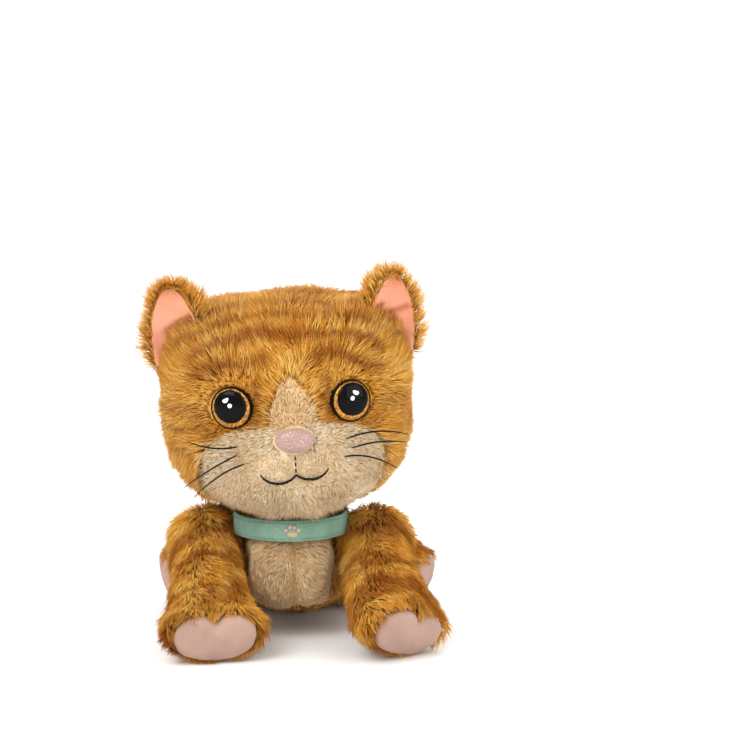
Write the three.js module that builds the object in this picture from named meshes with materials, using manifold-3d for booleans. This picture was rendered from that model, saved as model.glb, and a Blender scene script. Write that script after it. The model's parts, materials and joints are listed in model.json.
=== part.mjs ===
// Plush cat resting on its seat and forelegs with its head up, in millimetres. +Z is up and the cat
// faces -Y. Left and right are the cat's own: left is +X. The origin is on the floor under the middle
// of the seat. Dimensions are laid out from a point under the neck, and the cat is then moved by SEAT.y.
import * as THREE from 'three';
import { mergeVertices } from 'three/addons/utils/BufferGeometryUtils.js';
import Module from 'manifold-3d';

const wasm = await Module();
wasm.setup();

// Driving dimensions.
const GAP = 0.3; // between touching pieces
const CLOTH = 3; // pile fabric with its backing
const MOVE_GAP = 2.2; // between a limb's knuckle and the recess it turns in

const NECK = new THREE.Vector3(0, 0, 100);
const NECK_RADIUS = 30;
const HEAD_YAW = THREE.MathUtils.degToRad(6);
const HEAD_ROLL = THREE.MathUtils.degToRad(-2.8);
const SKULL_SHIFT = 1; // the head sits a little to the left of the neck
// Eggs: brow and jaw are how square the outline is above and below the middle, depth along y.
const HEAD = {
  centre: new THREE.Vector3(0, -8, 83),
  half: new THREE.Vector3(95, 74, 83),
  brow: 3.2,
  jaw: 2.8,
  depth: 2.2,
};
const MUZZLE = {
  centre: new THREE.Vector3(0, -42, 42),
  half: new THREE.Vector3(66, 46, 41),
  brow: 2.2,
  jaw: 2.2,
  depth: 2,
};
const FACE_SEAM_Y = 8; // where the face panel meets the back of the head
const EYE = { x: 44, z: 88, radius: 16, pupil: 10.5, dome: 5, backDepth: 4 };
const NOSE = { z: 63, half: new THREE.Vector3(14.5, 7, 9.5) };
const EAR = { width: 50, height: 54, back: 6, lining: 2.5 };

const TORSO_STATIONS = [
  // [y, half width, bottom z, top z]
  [-44, 20, 44, 74],
  [-40, 34, 32, 83],
  [-30, 45, 25, 87],
  [-12, 52, 20, 88],
  [14, 56, 15, 89],
  [44, 60, 7, 92],
  [66, 62, -6, 96],
  [100, 57, -8, 92],
  [122, 40, 2, 80],
  [129, 21, 20, 62],
];
const SEAT = { y: 86, halfWidth: 34, halfLength: 26 };
const POUCH = { front: 48, back: 112, top: 34 };
const CHEST = { halfWidth: 40, backY: -14, seamX: 4 };
const COLLAR = { halfX: 45, halfY: 45, y: -4, z: 90, height: 16, thick: 3 };
const COLLAR_TILT = THREE.MathUtils.degToRad(4);
const CLOSURE_HALF = 13; // half width of the collar's closure, behind the neck
const COLLAR_TOP = 96.5; // the head swings above this

const SHOULDER = {
  at: new THREE.Vector3(65, -2, 67),
  axis: new THREE.Vector3(1, 0, 0),
  radius: 33,
  halfWidth: 27,
};
const HIP = {
  at: new THREE.Vector3(46, 80, 38),
  axis: new THREE.Vector3(0, 0, 1),
  radius: 31,
  halfWidth: 36,
};
const PAD = { halfWidth: 30, halfHeight: 19, thick: 3 };
const TAIL = { root: new THREE.Vector3(0, 126, 20), radius: 13 };

const COLOURS = {
  ginger: 0xc8872d,
  cream: 0xd3b68f,
  pink: 0xd9b3a6,
  rose: 0xe1917a,
  satin: 0xe3b6ae,
  sage: 0x6ea38e,
  thread: 0x14110f,
  gold: 0xc8912a,
  black: 0x0a0909,
  fibre: 0xf2efe8,
  pellets: 0xd8d2c4,
};
const ROUGHNESS = { satin: 0.45, gold: 0.35, black: 0.15, thread: 0.6 };

// Solids and meshes.

function toSolid(geometry) {
  const bare = geometry.clone();
  bare.deleteAttribute('normal');
  bare.deleteAttribute('uv');
  const merged = mergeVertices(bare, 1e-4);
  const triangles = [];
  const index = merged.index.array;
  for (let i = 0; i < index.length; i += 3) {
    const [a, b, c] = [index[i], index[i + 1], index[i + 2]];
    if (a !== b && b !== c && a !== c) triangles.push(a, b, c);
  }
  const mesh = new wasm.Mesh({
    numProp: 3,
    vertProperties: new Float32Array(merged.attributes.position.array),
    triVerts: new Uint32Array(triangles),
  });
  return new wasm.Manifold(mesh);
}

function toGeometry(solid) {
  const { vertProperties, triVerts } = solid.getMesh();
  const geometry = new THREE.BufferGeometry();
  geometry.setAttribute('position', new THREE.BufferAttribute(new Float32Array(vertProperties), 3));
  geometry.setIndex(new THREE.BufferAttribute(new Uint32Array(triVerts), 1));
  geometry.computeVertexNormals();
  return geometry;
}

// The solid's biggest body, without the slivers that a cut can leave beside it.
function biggest(solid) {
  const bodies = solid.decompose();
  return bodies.reduce((best, body) => (body.volume() > best.volume() ? body : best));
}

function piece(name, solid, colour) {
  const material = new THREE.MeshStandardMaterial({
    color: COLOURS[colour],
    roughness: ROUGHNESS[colour] ?? 0.9,
    metalness: 0,
  });
  const mesh = new THREE.Mesh(toGeometry(biggest(solid)), material);
  mesh.name = name;
  return mesh;
}

function moved(solid, matrix) {
  return solid.transform(Array.from(matrix.elements));
}

function shifted(solid, offset) {
  return moved(solid, new THREE.Matrix4().makeTranslation(offset.x, offset.y, offset.z));
}

function union(solids) {
  return solids.reduce((sum, solid) => sum.add(solid));
}

// Basic shapes.

// An egg with squarer corners.
function egg({ centre, half, brow, jaw, depth }, grow, across, along) {
  const geometry = new THREE.SphereGeometry(1, across, along);
  const place = geometry.attributes.position;
  for (let i = 0; i < place.count; i += 1) {
    const [x, z, y] = [place.getX(i), place.getZ(i), place.getY(i)];
    const corner = z > 0 ? brow : jaw;
    const face = (Math.abs(x) ** corner + Math.abs(z) ** corner) ** (depth / corner);
    const reach = (face + Math.abs(y) ** depth) ** (-1 / depth);
    place.setXYZ(
      i,
      centre.x + x * reach * (half.x + grow),
      centre.y + y * reach * (half.y + grow),
      centre.z + z * reach * (half.z + grow),
    );
  }
  return toSolid(geometry);
}

function ellipsoid(centre, half, grow, across = 16, along = 10) {
  const geometry = new THREE.SphereGeometry(1, across, along);
  geometry.scale(half.x + grow, half.y + grow, half.z + grow);
  geometry.translate(centre.x, centre.y, centre.z);
  return toSolid(geometry);
}

function sphere(centre, radius, across = 16, along = 10) {
  return ellipsoid(centre, new THREE.Vector3(radius, radius, radius), 0, across, along);
}

function box(low, high) {
  const size = high.clone().sub(low);
  const middle = high.clone().add(low).multiplyScalar(0.5);
  const geometry = new THREE.BoxGeometry(size.x, size.y, size.z);
  geometry.translate(middle.x, middle.y, middle.z);
  return toSolid(geometry);
}

// A solid through rings, each with its own points; both ends are closed by a fan to the ring's middle.
function skinRings(rings) {
  const sides = rings[0].length;
  const points = rings.flat();
  const ends = [rings[0], rings.at(-1)].map((ring) => {
    const middle = new THREE.Vector3();
    ring.forEach((point) => middle.addScaledVector(point, 1 / sides));
    return middle;
  });
  const triangles = [];
  for (let ring = 0; ring + 1 < rings.length; ring += 1) {
    for (let side = 0; side < sides; side += 1) {
      const a = ring * sides + side;
      const b = ring * sides + ((side + 1) % sides);
      triangles.push(a, b, a + sides, b, b + sides, a + sides);
    }
  }
  const first = points.length;
  const last = first + 1;
  const top = (rings.length - 1) * sides;
  for (let side = 0; side < sides; side += 1) {
    const next = (side + 1) % sides;
    triangles.push(first, next, side);
    triangles.push(last, top + side, top + next);
  }
  const geometry = new THREE.BufferGeometry().setFromPoints([...points, ...ends]);
  geometry.setIndex(triangles);
  return toSolid(geometry);
}

// The directions across, above and along a curve, rolled round it by an angle.
function alongCurve(curve, at, roll) {
  const ahead = curve.getTangent(at);
  const side = ahead.clone().cross(new THREE.Vector3(0, 0, 1)).normalize().applyAxisAngle(ahead, roll);
  const top = side.clone().cross(ahead);
  return { side, top, ahead };
}

// A tapering tube along a curve: sizes are [part of the way, half width, half height].
// It rolls round the curve towards its end.
function taperedTube({ curve, sizes, roll = 0 }, grow, sides) {
  const reach = 1 + Math.min(grow, 0) / curve.getLength();
  const rings = sizes.map(([at, halfWidth, halfHeight]) => {
    const middle = curve.getPoint(at * reach);
    const { side, top } = alongCurve(curve, at * reach, roll * at ** 2);
    return Array.from({ length: sides }, (_, k) => {
      const turn = (2 * Math.PI * k) / sides;
      return middle
        .clone()
        .addScaledVector(side, -Math.cos(turn) * (halfWidth + grow))
        .addScaledVector(top, Math.sin(turn) * (halfHeight + grow));
    });
  });
  return skinRings(rings);
}

function thread(points, radius, sides = 6) {
  const curve = new THREE.CatmullRomCurve3(points);
  const section = new THREE.Shape().absarc(0, 0, radius, 0, 2 * Math.PI, false);
  const settings = { steps: 5, extrudePath: curve, curveSegments: sides / 2 };
  return toSolid(new THREE.ExtrudeGeometry(section, settings));
}

// A disc or ring by its half outline of [radius, height], turned about +Z.
function turned(outline, segments = 16) {
  const geometry = new THREE.LatheGeometry(
    outline.map(([radius, height]) => new THREE.Vector2(radius, height)),
    segments,
  );
  geometry.rotateX(Math.PI / 2);
  return toSolid(geometry);
}

// A matrix that stands +Z along a direction at a point.
function standing(at, direction) {
  const up = new THREE.Vector3(0, 0, 1);
  const turn = new THREE.Quaternion().setFromUnitVectors(up, direction.clone().normalize());
  return new THREE.Matrix4().compose(at, turn, new THREE.Vector3(1, 1, 1));
}

const object = new THREE.Group();
const cat = new THREE.Group();
cat.position.y = -SEAT.y;
object.add(cat);

// Limbs, made once for the left side in a frame at the joint and mirrored for the right.

const FINE = { around: 16, sides: 14 };
const COARSE = { around: 12, sides: 8 }; // for what stays hidden

// A barrel round an axis through the origin, squarer than a ball as squareness rises from 2.
function knuckle({ axis, radius, halfWidth }, grow, squareness, around) {
  const steps = 8;
  const outline = Array.from({ length: steps + 1 }, (_, k) => {
    const turn = (Math.PI * k) / steps;
    const out = Math.abs(Math.sin(turn)) ** (2 / squareness);
    const along = Math.sign(Math.cos(turn)) * Math.abs(Math.cos(turn)) ** (2 / squareness);
    return [k % steps === 0 ? 0 : (radius + grow) * out, -(halfWidth + grow) * along];
  });
  return moved(turned(outline, around), standing(new THREE.Vector3(), axis));
}

function limbSolid(limb, grow, detail) {
  return knuckle(limb.joint, grow, 2.2, detail.around).add(taperedTube(limb, grow, detail.sides));
}

function padDisc({ curve, roll }) {
  const disc = turned([[0, 0], [0.94, 0], [1, 0.3], [0.94, 1], [0, 1]]);
  const { side, top, ahead } = alongCurve(curve, 1, roll);
  const stretch = new THREE.Matrix4().makeBasis(
    side.multiplyScalar(PAD.halfWidth),
    top.multiplyScalar(PAD.halfHeight),
    ahead.clone().multiplyScalar(-PAD.thick),
  );
  stretch.setPosition(curve.getPoint(1).addScaledVector(ahead, GAP + PAD.thick));
  return moved(disc, stretch);
}

// The recess that a limb turns in: a barrel round its joint, and open space where the limb leaves it.
function limbRoom({ joint, leaves }) {
  const ways = leaves.map(([low, high]) => box(low, high));
  return union([knuckle(joint, MOVE_GAP, 3, FINE.around), ...ways]);
}

function curveThrough(points) {
  return new THREE.CatmullRomCurve3(points.map(([x, y, z]) => new THREE.Vector3(x, y, z)));
}

const FRONT_SIZES = [
  [0, 23, 29],
  [0.15, 25.5, 29],
  [0.3, 27, 30],
  [0.45, 29.5, 30],
  [0.62, 32, 29],
  [0.8, 39, 26],
  [0.92, 42, 24],
  [0.98, 39, 22],
  [1, 34, 20],
];
const HIND_SIZES = [
  [0, 29, 34],
  [0.35, 31, 33],
  [0.65, 36, 27],
  [0.88, 38, 24],
  [0.97, 36, 22],
  [1, 32, 20],
];
const FRONT_LEAVES = [
  [new THREE.Vector3(-34, -80, -90), new THREE.Vector3(80, -5, 45)],
  [new THREE.Vector3(-34, -80, -90), new THREE.Vector3(80, 8, -14)],
];
const HIND_LEAVES = [[new THREE.Vector3(1, -50, -60), new THREE.Vector3(90, 40, 60)]];
const SIDES = [
  ['left', 1],
  ['right', -1],
];
const mirrorX = new THREE.Matrix4().makeScale(-1, 1, 1);

const frontLeg = { joint: SHOULDER, sizes: FRONT_SIZES, leaves: FRONT_LEAVES };
const hindLeg = {
  joint: HIP,
  sizes: HIND_SIZES,
  leaves: HIND_LEAVES,
  roll: 0,
  curve: curveThrough([[0, 0, 0], [22, -2, -2], [42, -5, -10], [56, -9, -13.5]]),
};
const LIMBS = [
  {
    name: 'front_leg_left',
    side: 1,
    ...frontLeg,
    roll: THREE.MathUtils.degToRad(-20),
    curve: curveThrough([[0, 0, 0], [4, -33, -16], [11, -60, -32], [24, -81, -45.4]]),
  },
  {
    name: 'front_leg_right',
    side: -1,
    ...frontLeg,
    roll: 0,
    curve: curveThrough([[0, 0, 0], [-4, -36, -20], [-9, -68, -37], [-14, -93, -45.6]]),
  },
  { name: 'hind_leg_left', side: 1, ...hindLeg },
  { name: 'hind_leg_right', side: -1, ...hindLeg },
];

const LIFT = THREE.MathUtils.degToRad(20); // the front legs' highest lift
const recesses = [];
const liftedLegs = []; // what the collar keeps clear of
for (const limb of LIMBS) {
  const outer = limbSolid(limb, 0, FINE);
  const hollow = limbSolid(limb, -CLOTH, COARSE);
  const mouth = box(new THREE.Vector3(-50, -12, -12), new THREE.Vector3(0, 12, 12));
  const filling = limbSolid(limb, -CLOTH - GAP, COARSE);
  const room = limbRoom(limb);
  const at = limb.joint.at.clone();
  at.x *= limb.side;
  const flip = (solid) => (limb.side > 0 ? solid : moved(solid, mirrorX));
  recesses.push(shifted(flip(room), at));
  if (limb.joint === SHOULDER) {
    const grown = limbSolid(limb, MOVE_GAP, COARSE);
    const lifted = moved(grown, new THREE.Matrix4().makeRotationX(-LIFT));
    const barrel = knuckle(limb.joint, MOVE_GAP, 3, FINE.around);
    liftedLegs.push(shifted(flip(union([barrel, grown, lifted])), at));
  }
  const group = new THREE.Group();
  group.position.copy(at);
  group.add(piece(`${limb.name}_cover`, flip(outer.subtract(hollow).subtract(mouth)), 'ginger'));
  group.add(piece(`${limb.name}_stuffing`, flip(filling), 'fibre'));
  group.add(piece(`${limb.name}_pad`, flip(padDisc(limb)), 'pink'));
  cat.add(group);
}

// Tail: a curled tube behind the torso, with a ball at its root.
const tailCurve = curveThrough([[0, 0, 0], [0, 16, -4], [-14, 34, -6], [-36, 42, -6], [-58, 36, -6]]);
const TAIL_SIZES = [
  [0, TAIL.radius, TAIL.radius],
  [0.2, TAIL.radius, TAIL.radius],
  [0.4, TAIL.radius, TAIL.radius],
  [0.6, TAIL.radius, TAIL.radius],
  [0.8, 12, 12],
  [0.94, 9, 9],
  [1, 5, 5],
];
function tailSolid(grow) {
  const ball = sphere(new THREE.Vector3(), TAIL.radius + 1 + grow, 12, 8);
  return ball.add(taperedTube({ curve: tailCurve, sizes: TAIL_SIZES }, grow, 10));
}
const tailHollow = tailSolid(-CLOTH);
const tailMouth = box(new THREE.Vector3(-6, -TAIL.radius - 5, -6), new THREE.Vector3(6, 0, 6));
const tail = new THREE.Group();
tail.position.copy(TAIL.root);
tail.add(piece('tail_cover', tailSolid(0).subtract(tailHollow).subtract(tailMouth), 'ginger'));
tail.add(piece('tail_stuffing', tailSolid(-CLOTH - GAP), 'fibre'));
cat.add(tail);
const tailLeaves = box(new THREE.Vector3(-30, 1, -30), new THREE.Vector3(30, 60, 30));
const tailRoom = sphere(new THREE.Vector3(), TAIL.radius + 1 + MOVE_GAP, 12, 8).add(tailLeaves);
recesses.push(shifted(tailRoom, TAIL.root));

// Torso.

function torsoSolid(grow) {
  const sides = grow < 0 ? 16 : 24;
  const lastStation = TORSO_STATIONS.length - 1;
  const rings = TORSO_STATIONS.map(([y, halfWidth, bottom, top], station) => {
    const end = station === 0 ? -grow : station === lastStation ? grow : 0;
    const middle = (bottom + top) / 2;
    const halfHeight = (top - bottom) / 2 + grow;
    return Array.from({ length: sides }, (_, k) => {
      const turn = (2 * Math.PI * k) / sides;
      const x = Math.cos(turn) * (halfWidth + grow);
      const z = middle + Math.sin(turn) * halfHeight;
      return new THREE.Vector3(-x, y + end, Math.max(z, Math.min(-grow, CLOTH + GAP)));
    });
  });
  return skinRings(rings);
}

function seatPanel(grow, top) {
  const disc = turned([[0, -1], [1, -1], [1, top], [0, top]], 20);
  const size = new THREE.Matrix4().makeScale(SEAT.halfWidth + grow, SEAT.halfLength + grow, 1);
  return moved(disc, size.setPosition(0, SEAT.y, 0));
}

const allRecesses = union(recesses);
const neckRecess = sphere(NECK, NECK_RADIUS + 0.8);
const torsoOuter = torsoSolid(0);
const torsoShell = torsoOuter
  .subtract(torsoSolid(-CLOTH))
  .subtract(neckRecess)
  .subtract(allRecesses)
  .subtract(seatPanel(GAP, CLOTH + GAP));
const chestZone = (gap) => box(
  new THREE.Vector3(-CHEST.halfWidth - gap, -60, 8 - gap),
  new THREE.Vector3(CHEST.halfWidth + gap, CHEST.backY + gap, 120),
);
const farLow = new THREE.Vector3(-200, -200, -50);
const farHigh = new THREE.Vector3(200, 200, 400);

function sideOf(x, side) {
  const low = farLow.clone();
  const high = farHigh.clone();
  if (side > 0) low.x = x + GAP / 2;
  else high.x = x - GAP / 2;
  return box(low, high);
}

for (const [label, side] of SIDES) {
  const chest = torsoShell.intersect(chestZone(0)).intersect(sideOf(CHEST.seamX, side));
  const flank = torsoShell.subtract(chestZone(GAP)).intersect(sideOf(0, side));
  cat.add(piece(`torso_${label}_panel`, flank, 'ginger'));
  cat.add(piece(`chest_${label}_panel`, chest, 'cream'));
}
const aboveFloor = box(new THREE.Vector3(-200, -200, 0), farHigh);
cat.add(piece('seat_panel', seatPanel(0, CLOTH).intersect(aboveFloor), 'ginger'));

const filling = torsoSolid(-CLOTH - GAP).subtract(allRecesses).subtract(neckRecess);
const pouchZone = (gap) => box(
  new THREE.Vector3(-200, POUCH.front - gap, -50),
  new THREE.Vector3(200, POUCH.back + gap, POUCH.top + gap),
);
cat.add(piece('pellet_pouch', filling.intersect(pouchZone(0)), 'pellets'));
cat.add(piece('torso_stuffing', filling.subtract(pouchZone(GAP)), 'fibre'));

// Neck and collar.
cat.add(piece('neck_core', sphere(NECK, NECK_RADIUS), 'fibre'));

function collarBand(grow) {
  const low = -COLLAR.height / 2 - grow;
  const high = COLLAR.height / 2 + grow;
  const inner = (COLLAR.halfX - COLLAR.thick - grow) / (COLLAR.halfX + grow);
  const ring = turned([[inner, low], [1, low], [1, high], [inner, high], [inner, low]], 30);
  const place = new THREE.Matrix4().makeTranslation(0, COLLAR.y, COLLAR.z);
  place.multiply(new THREE.Matrix4().makeRotationX(COLLAR_TILT));
  place.multiply(new THREE.Matrix4().makeScale(COLLAR.halfX + grow, COLLAR.halfY + grow, 1));
  return moved(ring, place);
}

const closureZone = (gap) => box(
  new THREE.Vector3(-CLOSURE_HALF - gap, 0, 60),
  new THREE.Vector3(CLOSURE_HALF + gap, 80, 140),
);
const headSwing = box(new THREE.Vector3(-80, -80, COLLAR_TOP), new THREE.Vector3(80, 80, 140));
const collarCut = union([torsoSolid(GAP), neckRecess, headSwing, ...liftedLegs]);
const collar = collarBand(0).subtract(collarCut);
cat.add(piece('collar_band', collar.subtract(closureZone(GAP)), 'sage'));
cat.add(piece('collar_closure', collar.intersect(closureZone(0)), 'sage'));

const emblemFrame = standing(
  new THREE.Vector3(4, COLLAR.y - COLLAR.halfY * Math.cos(COLLAR_TILT) - 0.3, COLLAR.z - 9),
  new THREE.Vector3(0, -1, -0.19),
);
const emblemDisc = turned([[0, -1.5], [6, -1.5], [6, 1], [0, 1]], 18);
cat.add(piece('collar_emblem', moved(emblemDisc, emblemFrame).subtract(collarBand(GAP)), 'thread'));

// Head, in a frame at the neck joint, turned and tilted as the cat holds it.
const head = new THREE.Group();
head.position.copy(NECK);
head.rotation.set(0, HEAD_ROLL, HEAD_YAW);
const skull = new THREE.Group();
skull.position.x = SKULL_SHIFT;
head.add(skull);
cat.add(head);

const headEgg = (grow) => (grow < 0 ? egg(HEAD, grow, 16, 10) : egg(HEAD, grow, 24, 16));
const muzzleEgg = (grow) => (grow < 0 ? egg(MUZZLE, grow, 12, 8) : egg(MUZZLE, grow, 18, 12));
const headRecess = sphere(new THREE.Vector3(-SKULL_SHIFT, 0, 0), NECK_RADIUS + 0.8);

// The y of an egg's front at x and z, or null beside it.
function frontOf({ centre, half, brow, jaw, depth }, x, z) {
  const corner = z > centre.z ? brow : jaw;
  const outX = Math.abs((x - centre.x) / half.x);
  const outZ = Math.abs((z - centre.z) / half.z);
  const across = (outX ** corner + outZ ** corner) ** (depth / corner);
  return across < 1 ? centre.y - half.y * (1 - across) ** (1 / depth) : null;
}

function faceY(x, z) {
  return Math.min(frontOf(HEAD, x, z) ?? 0, frontOf(MUZZLE, x, z) ?? 0);
}

// The outward normal of the face at x and z.
function faceNormal(x, z) {
  const step = 2;
  const slopeX = (faceY(x + step, z) - faceY(x - step, z)) / (2 * step);
  const slopeZ = (faceY(x, z + step) - faceY(x, z - step)) / (2 * step);
  return new THREE.Vector3(slopeX, -1, slopeZ).normalize();
}

function facePoint(x, z, lift = 0) {
  return new THREE.Vector3(x, faceY(x, z), z).addScaledVector(faceNormal(x, z), lift);
}

// Eyes: a black rim, a gold iris ring, a domed pupil, and a washer that locks the stem behind the cloth.
const eyeSockets = [];
const washerRooms = [];
for (const [label, side] of SIDES) {
  const at = facePoint(side * EYE.x, EYE.z);
  const normal = faceNormal(side * EYE.x, EYE.z);
  const frame = standing(at, normal);
  const back = -EYE.backDepth;
  const rimIn = EYE.radius - 1.4;
  const rim = turned([
    [rimIn, back],
    [EYE.radius, back],
    [EYE.radius + 0.3, -0.5],
    [EYE.radius - 0.6, 0.6],
    [rimIn, 0.2],
    [rimIn, back],
  ]);
  const irisIn = EYE.pupil + GAP;
  const irisOut = rimIn - GAP;
  const iris = turned([
    [irisIn, back],
    [irisOut, back],
    [irisOut, 0.2],
    [irisIn, 2.2],
    [irisIn, back],
  ]);
  const pupil = turned([
    [0, back],
    [EYE.pupil, back],
    [EYE.pupil, 2.4],
    [EYE.pupil * 0.7, 4],
    [EYE.pupil * 0.35, EYE.dome - 0.1],
    [0, EYE.dome],
  ]);
  const washer = turned([
    [0, back - 12],
    [2.5, back - 12],
    [2.5, back - 7],
    [11, back - 7],
    [11, back - 5],
    [2.5, back - 5],
    [2.5, back - GAP],
    [0, back - GAP],
  ]);
  skull.add(piece(`eye_${label}_rim`, moved(rim, frame), 'black'));
  skull.add(piece(`eye_${label}_iris`, moved(iris, frame), 'gold'));
  skull.add(piece(`eye_${label}_pupil`, moved(pupil, frame), 'black'));
  skull.add(piece(`eye_${label}_washer`, moved(washer, frame), 'black'));
  const socketRadius = EYE.radius + 1;
  const socketBack = back - GAP / 2;
  const socket = turned([[0, socketBack], [socketRadius, socketBack], [socketRadius, 12], [0, 12]]);
  eyeSockets.push(moved(socket, frame));
  washerRooms.push(moved(turned([[0, back - 13], [11.6, back - 13], [11.6, 0], [0, 0]]), frame));
}
const sockets = union([...eyeSockets, ...washerRooms]);

// Head cover: the face panel and the back, with the blaze let into the forehead.
function blazePrism(gap) {
  const outline = new THREE.Shape()
    .moveTo(-18 - gap, 70 - gap)
    .lineTo(18 + gap, 70 - gap)
    .bezierCurveTo(13 + gap, 92, 6 + gap, 104, 3 + gap, 114 + gap)
    .lineTo(-3 - gap, 114 + gap)
    .bezierCurveTo(-6 - gap, 104, -13 - gap, 92, -18 - gap, 70 - gap);
  const settings = { depth: 60, bevelEnabled: false, curveSegments: 6 };
  const geometry = new THREE.ExtrudeGeometry(outline, settings);
  geometry.rotateX(Math.PI / 2);
  geometry.translate(0, -40, 0);
  return toSolid(geometry);
}

const headHoles = headRecess.add(sockets);
const headShell = headEgg(0).subtract(headEgg(-CLOTH)).subtract(headHoles);
const behindSeam = box(new THREE.Vector3(-200, FACE_SEAM_Y + GAP / 2, -50), farHigh);
const beforeSeam = box(farLow, new THREE.Vector3(200, FACE_SEAM_Y - GAP / 2, 400));
const muzzleRoom = muzzleEgg(GAP);
const facePanel = headShell.intersect(beforeSeam).subtract(blazePrism(1.3 * GAP));
skull.add(piece('head_front_panel', facePanel, 'ginger'));
skull.add(piece('head_back_panel', headShell.intersect(behindSeam), 'ginger'));
const blaze = headShell.intersect(blazePrism(0)).subtract(muzzleRoom);
skull.add(piece('blaze_panel', blaze, 'cream'));
skull.add(piece('head_stuffing', headEgg(-CLOTH - GAP).subtract(headHoles), 'fibre'));

// Muzzle.
const headRoom = headEgg(GAP);
const muzzleShell = muzzleEgg(0).subtract(muzzleEgg(-CLOTH));
skull.add(piece('muzzle_panel', muzzleShell.subtract(headRoom), 'cream'));
skull.add(piece('muzzle_stuffing', muzzleEgg(-CLOTH - GAP).subtract(headRoom), 'fibre'));

const onFace = headRoom.add(muzzleRoom);
const noseFrame = facePoint(0, NOSE.z, 0.5);
const nose = ellipsoid(noseFrame, NOSE.half, 0, 18, 12);
skull.add(piece('nose_pad', nose.subtract(onFace), 'satin'));

const noseRoom = ellipsoid(noseFrame, NOSE.half, GAP, 18, 12);
const mouthLines = [
  [[0, 53], [0, 46], [0, 38]],
  [[0, 38.5], [-7, 34], [-14, 33], [-24, 38]],
  [[0, 38.5], [7, 34], [14, 33], [24, 38]],
];
const mouth = union(mouthLines.map((line) => {
  const points = line.map(([x, z]) => facePoint(x, z, 0.9));
  return thread(points, 1.3);
}));
skull.add(piece('mouth_stitching', mouth.subtract(onFace).subtract(noseRoom), 'thread'));

// Whiskers, each through three [x, z] places on the face at rising distances from it.
const WHISKER_LIFTS = [0.6, 3.5, 7];
const WHISKERS = {
  left: {
    upper: [[38, 61], [58, 65], [80, 59]],
    middle: [[42, 54], [59, 57], [78, 54]],
    lower: [[36, 49], [55, 45], [72, 36]],
  },
  right: {
    upper: [[41, 60], [58, 60], [72, 65]],
    middle: [[42, 54], [63, 42], [76, 31]],
    lower: [[37, 48], [56, 37], [70, 24]],
  },
};
for (const [label, side] of SIDES) {
  for (const [row, places] of Object.entries(WHISKERS[label])) {
    const points = places.map(([x, z], k) => facePoint(side * x, z, WHISKER_LIFTS[k]));
    skull.add(piece(`whisker_${label}_${row}`, thread(points, 0.9).subtract(onFace), 'thread'));
  }
}

// Ears: a cupped leaf of pile cloth with a pink lining on its front, hinged along its root.
function earPlate(width, height, thick, front) {
  const outline = new THREE.Shape()
    .moveTo(-width / 2, -6)
    .bezierCurveTo(-width * 0.62, height * 0.4, -width * 0.3, height * 0.85, -width * 0.08, height)
    .bezierCurveTo(width * 0.02, height * 1.04, width * 0.1, height, width * 0.16, height * 0.94)
    .bezierCurveTo(width * 0.42, height * 0.7, width * 0.6, height * 0.3, width / 2, -6)
    .lineTo(-width / 2, -6);
  const settings = { depth: thick, bevelEnabled: false, curveSegments: 8 };
  const geometry = new THREE.ExtrudeGeometry(outline, settings);
  geometry.translate(0, 0, front);
  return toSolid(geometry);
}

const EAR_ROOT = new THREE.Vector3(77, -26, 122);
const EAR_UP = new THREE.Vector3(0.1, 0, 0.99).normalize();
const EAR_FACE = new THREE.Vector3(0.44, -0.88, -0.17).normalize();
const earAcross = EAR_UP.clone().cross(EAR_FACE).normalize();
const earFront = earAcross.clone().cross(EAR_UP).normalize();
const earFrame = new THREE.Matrix4().makeBasis(earAcross, EAR_UP, earFront).setPosition(EAR_ROOT);
const foldRoom = headEgg(4.6);
for (const [label, side] of SIDES) {
  const flip = (solid) => (side > 0 ? solid : moved(solid, mirrorX));
  const back = flip(moved(earPlate(EAR.width, EAR.height, EAR.back, -EAR.back), earFrame));
  const inner = earPlate(EAR.width - 11, EAR.height - 6, EAR.lining, GAP);
  const lining = flip(moved(inner, earFrame));
  skull.add(piece(`ear_${label}_back`, back.subtract(foldRoom), 'ginger'));
  skull.add(piece(`ear_${label}_lining`, lining.subtract(foldRoom), 'rose'));
}

export default object;
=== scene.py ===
"""A plush tabby cat seated on the floor: skins, pile, face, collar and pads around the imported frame."""
import json
import math

import bmesh
import bpy
import numpy as np
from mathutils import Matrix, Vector
from mathutils.bvhtree import BVHTree
from mathutils.kdtree import KDTree


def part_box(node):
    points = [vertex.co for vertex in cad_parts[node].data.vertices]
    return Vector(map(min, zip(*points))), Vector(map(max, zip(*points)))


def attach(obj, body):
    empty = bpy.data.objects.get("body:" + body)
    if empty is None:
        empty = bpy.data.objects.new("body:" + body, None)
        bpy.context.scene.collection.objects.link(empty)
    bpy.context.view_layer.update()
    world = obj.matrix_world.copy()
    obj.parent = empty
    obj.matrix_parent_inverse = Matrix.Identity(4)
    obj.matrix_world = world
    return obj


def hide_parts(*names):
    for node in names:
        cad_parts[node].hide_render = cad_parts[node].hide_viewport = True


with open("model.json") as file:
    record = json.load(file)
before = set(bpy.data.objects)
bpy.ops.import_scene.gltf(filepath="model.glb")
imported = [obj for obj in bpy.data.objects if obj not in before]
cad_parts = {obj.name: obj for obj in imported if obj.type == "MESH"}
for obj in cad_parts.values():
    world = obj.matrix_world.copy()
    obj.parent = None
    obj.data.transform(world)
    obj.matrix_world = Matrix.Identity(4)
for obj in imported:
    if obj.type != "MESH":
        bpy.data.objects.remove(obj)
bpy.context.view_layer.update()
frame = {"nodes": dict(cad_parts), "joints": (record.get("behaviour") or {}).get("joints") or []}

MM = 0.001
PILE_SHARE = 1.0
PILE_WIDTH = 0.72 * MM
MOST_STRANDS = 19500  # in one piece


# Numbers, vectors and frames.


def unit(v):
    v = np.asarray(v, float)
    return v / np.maximum(np.linalg.norm(v, axis=-1, keepdims=True), 1e-12)


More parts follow.
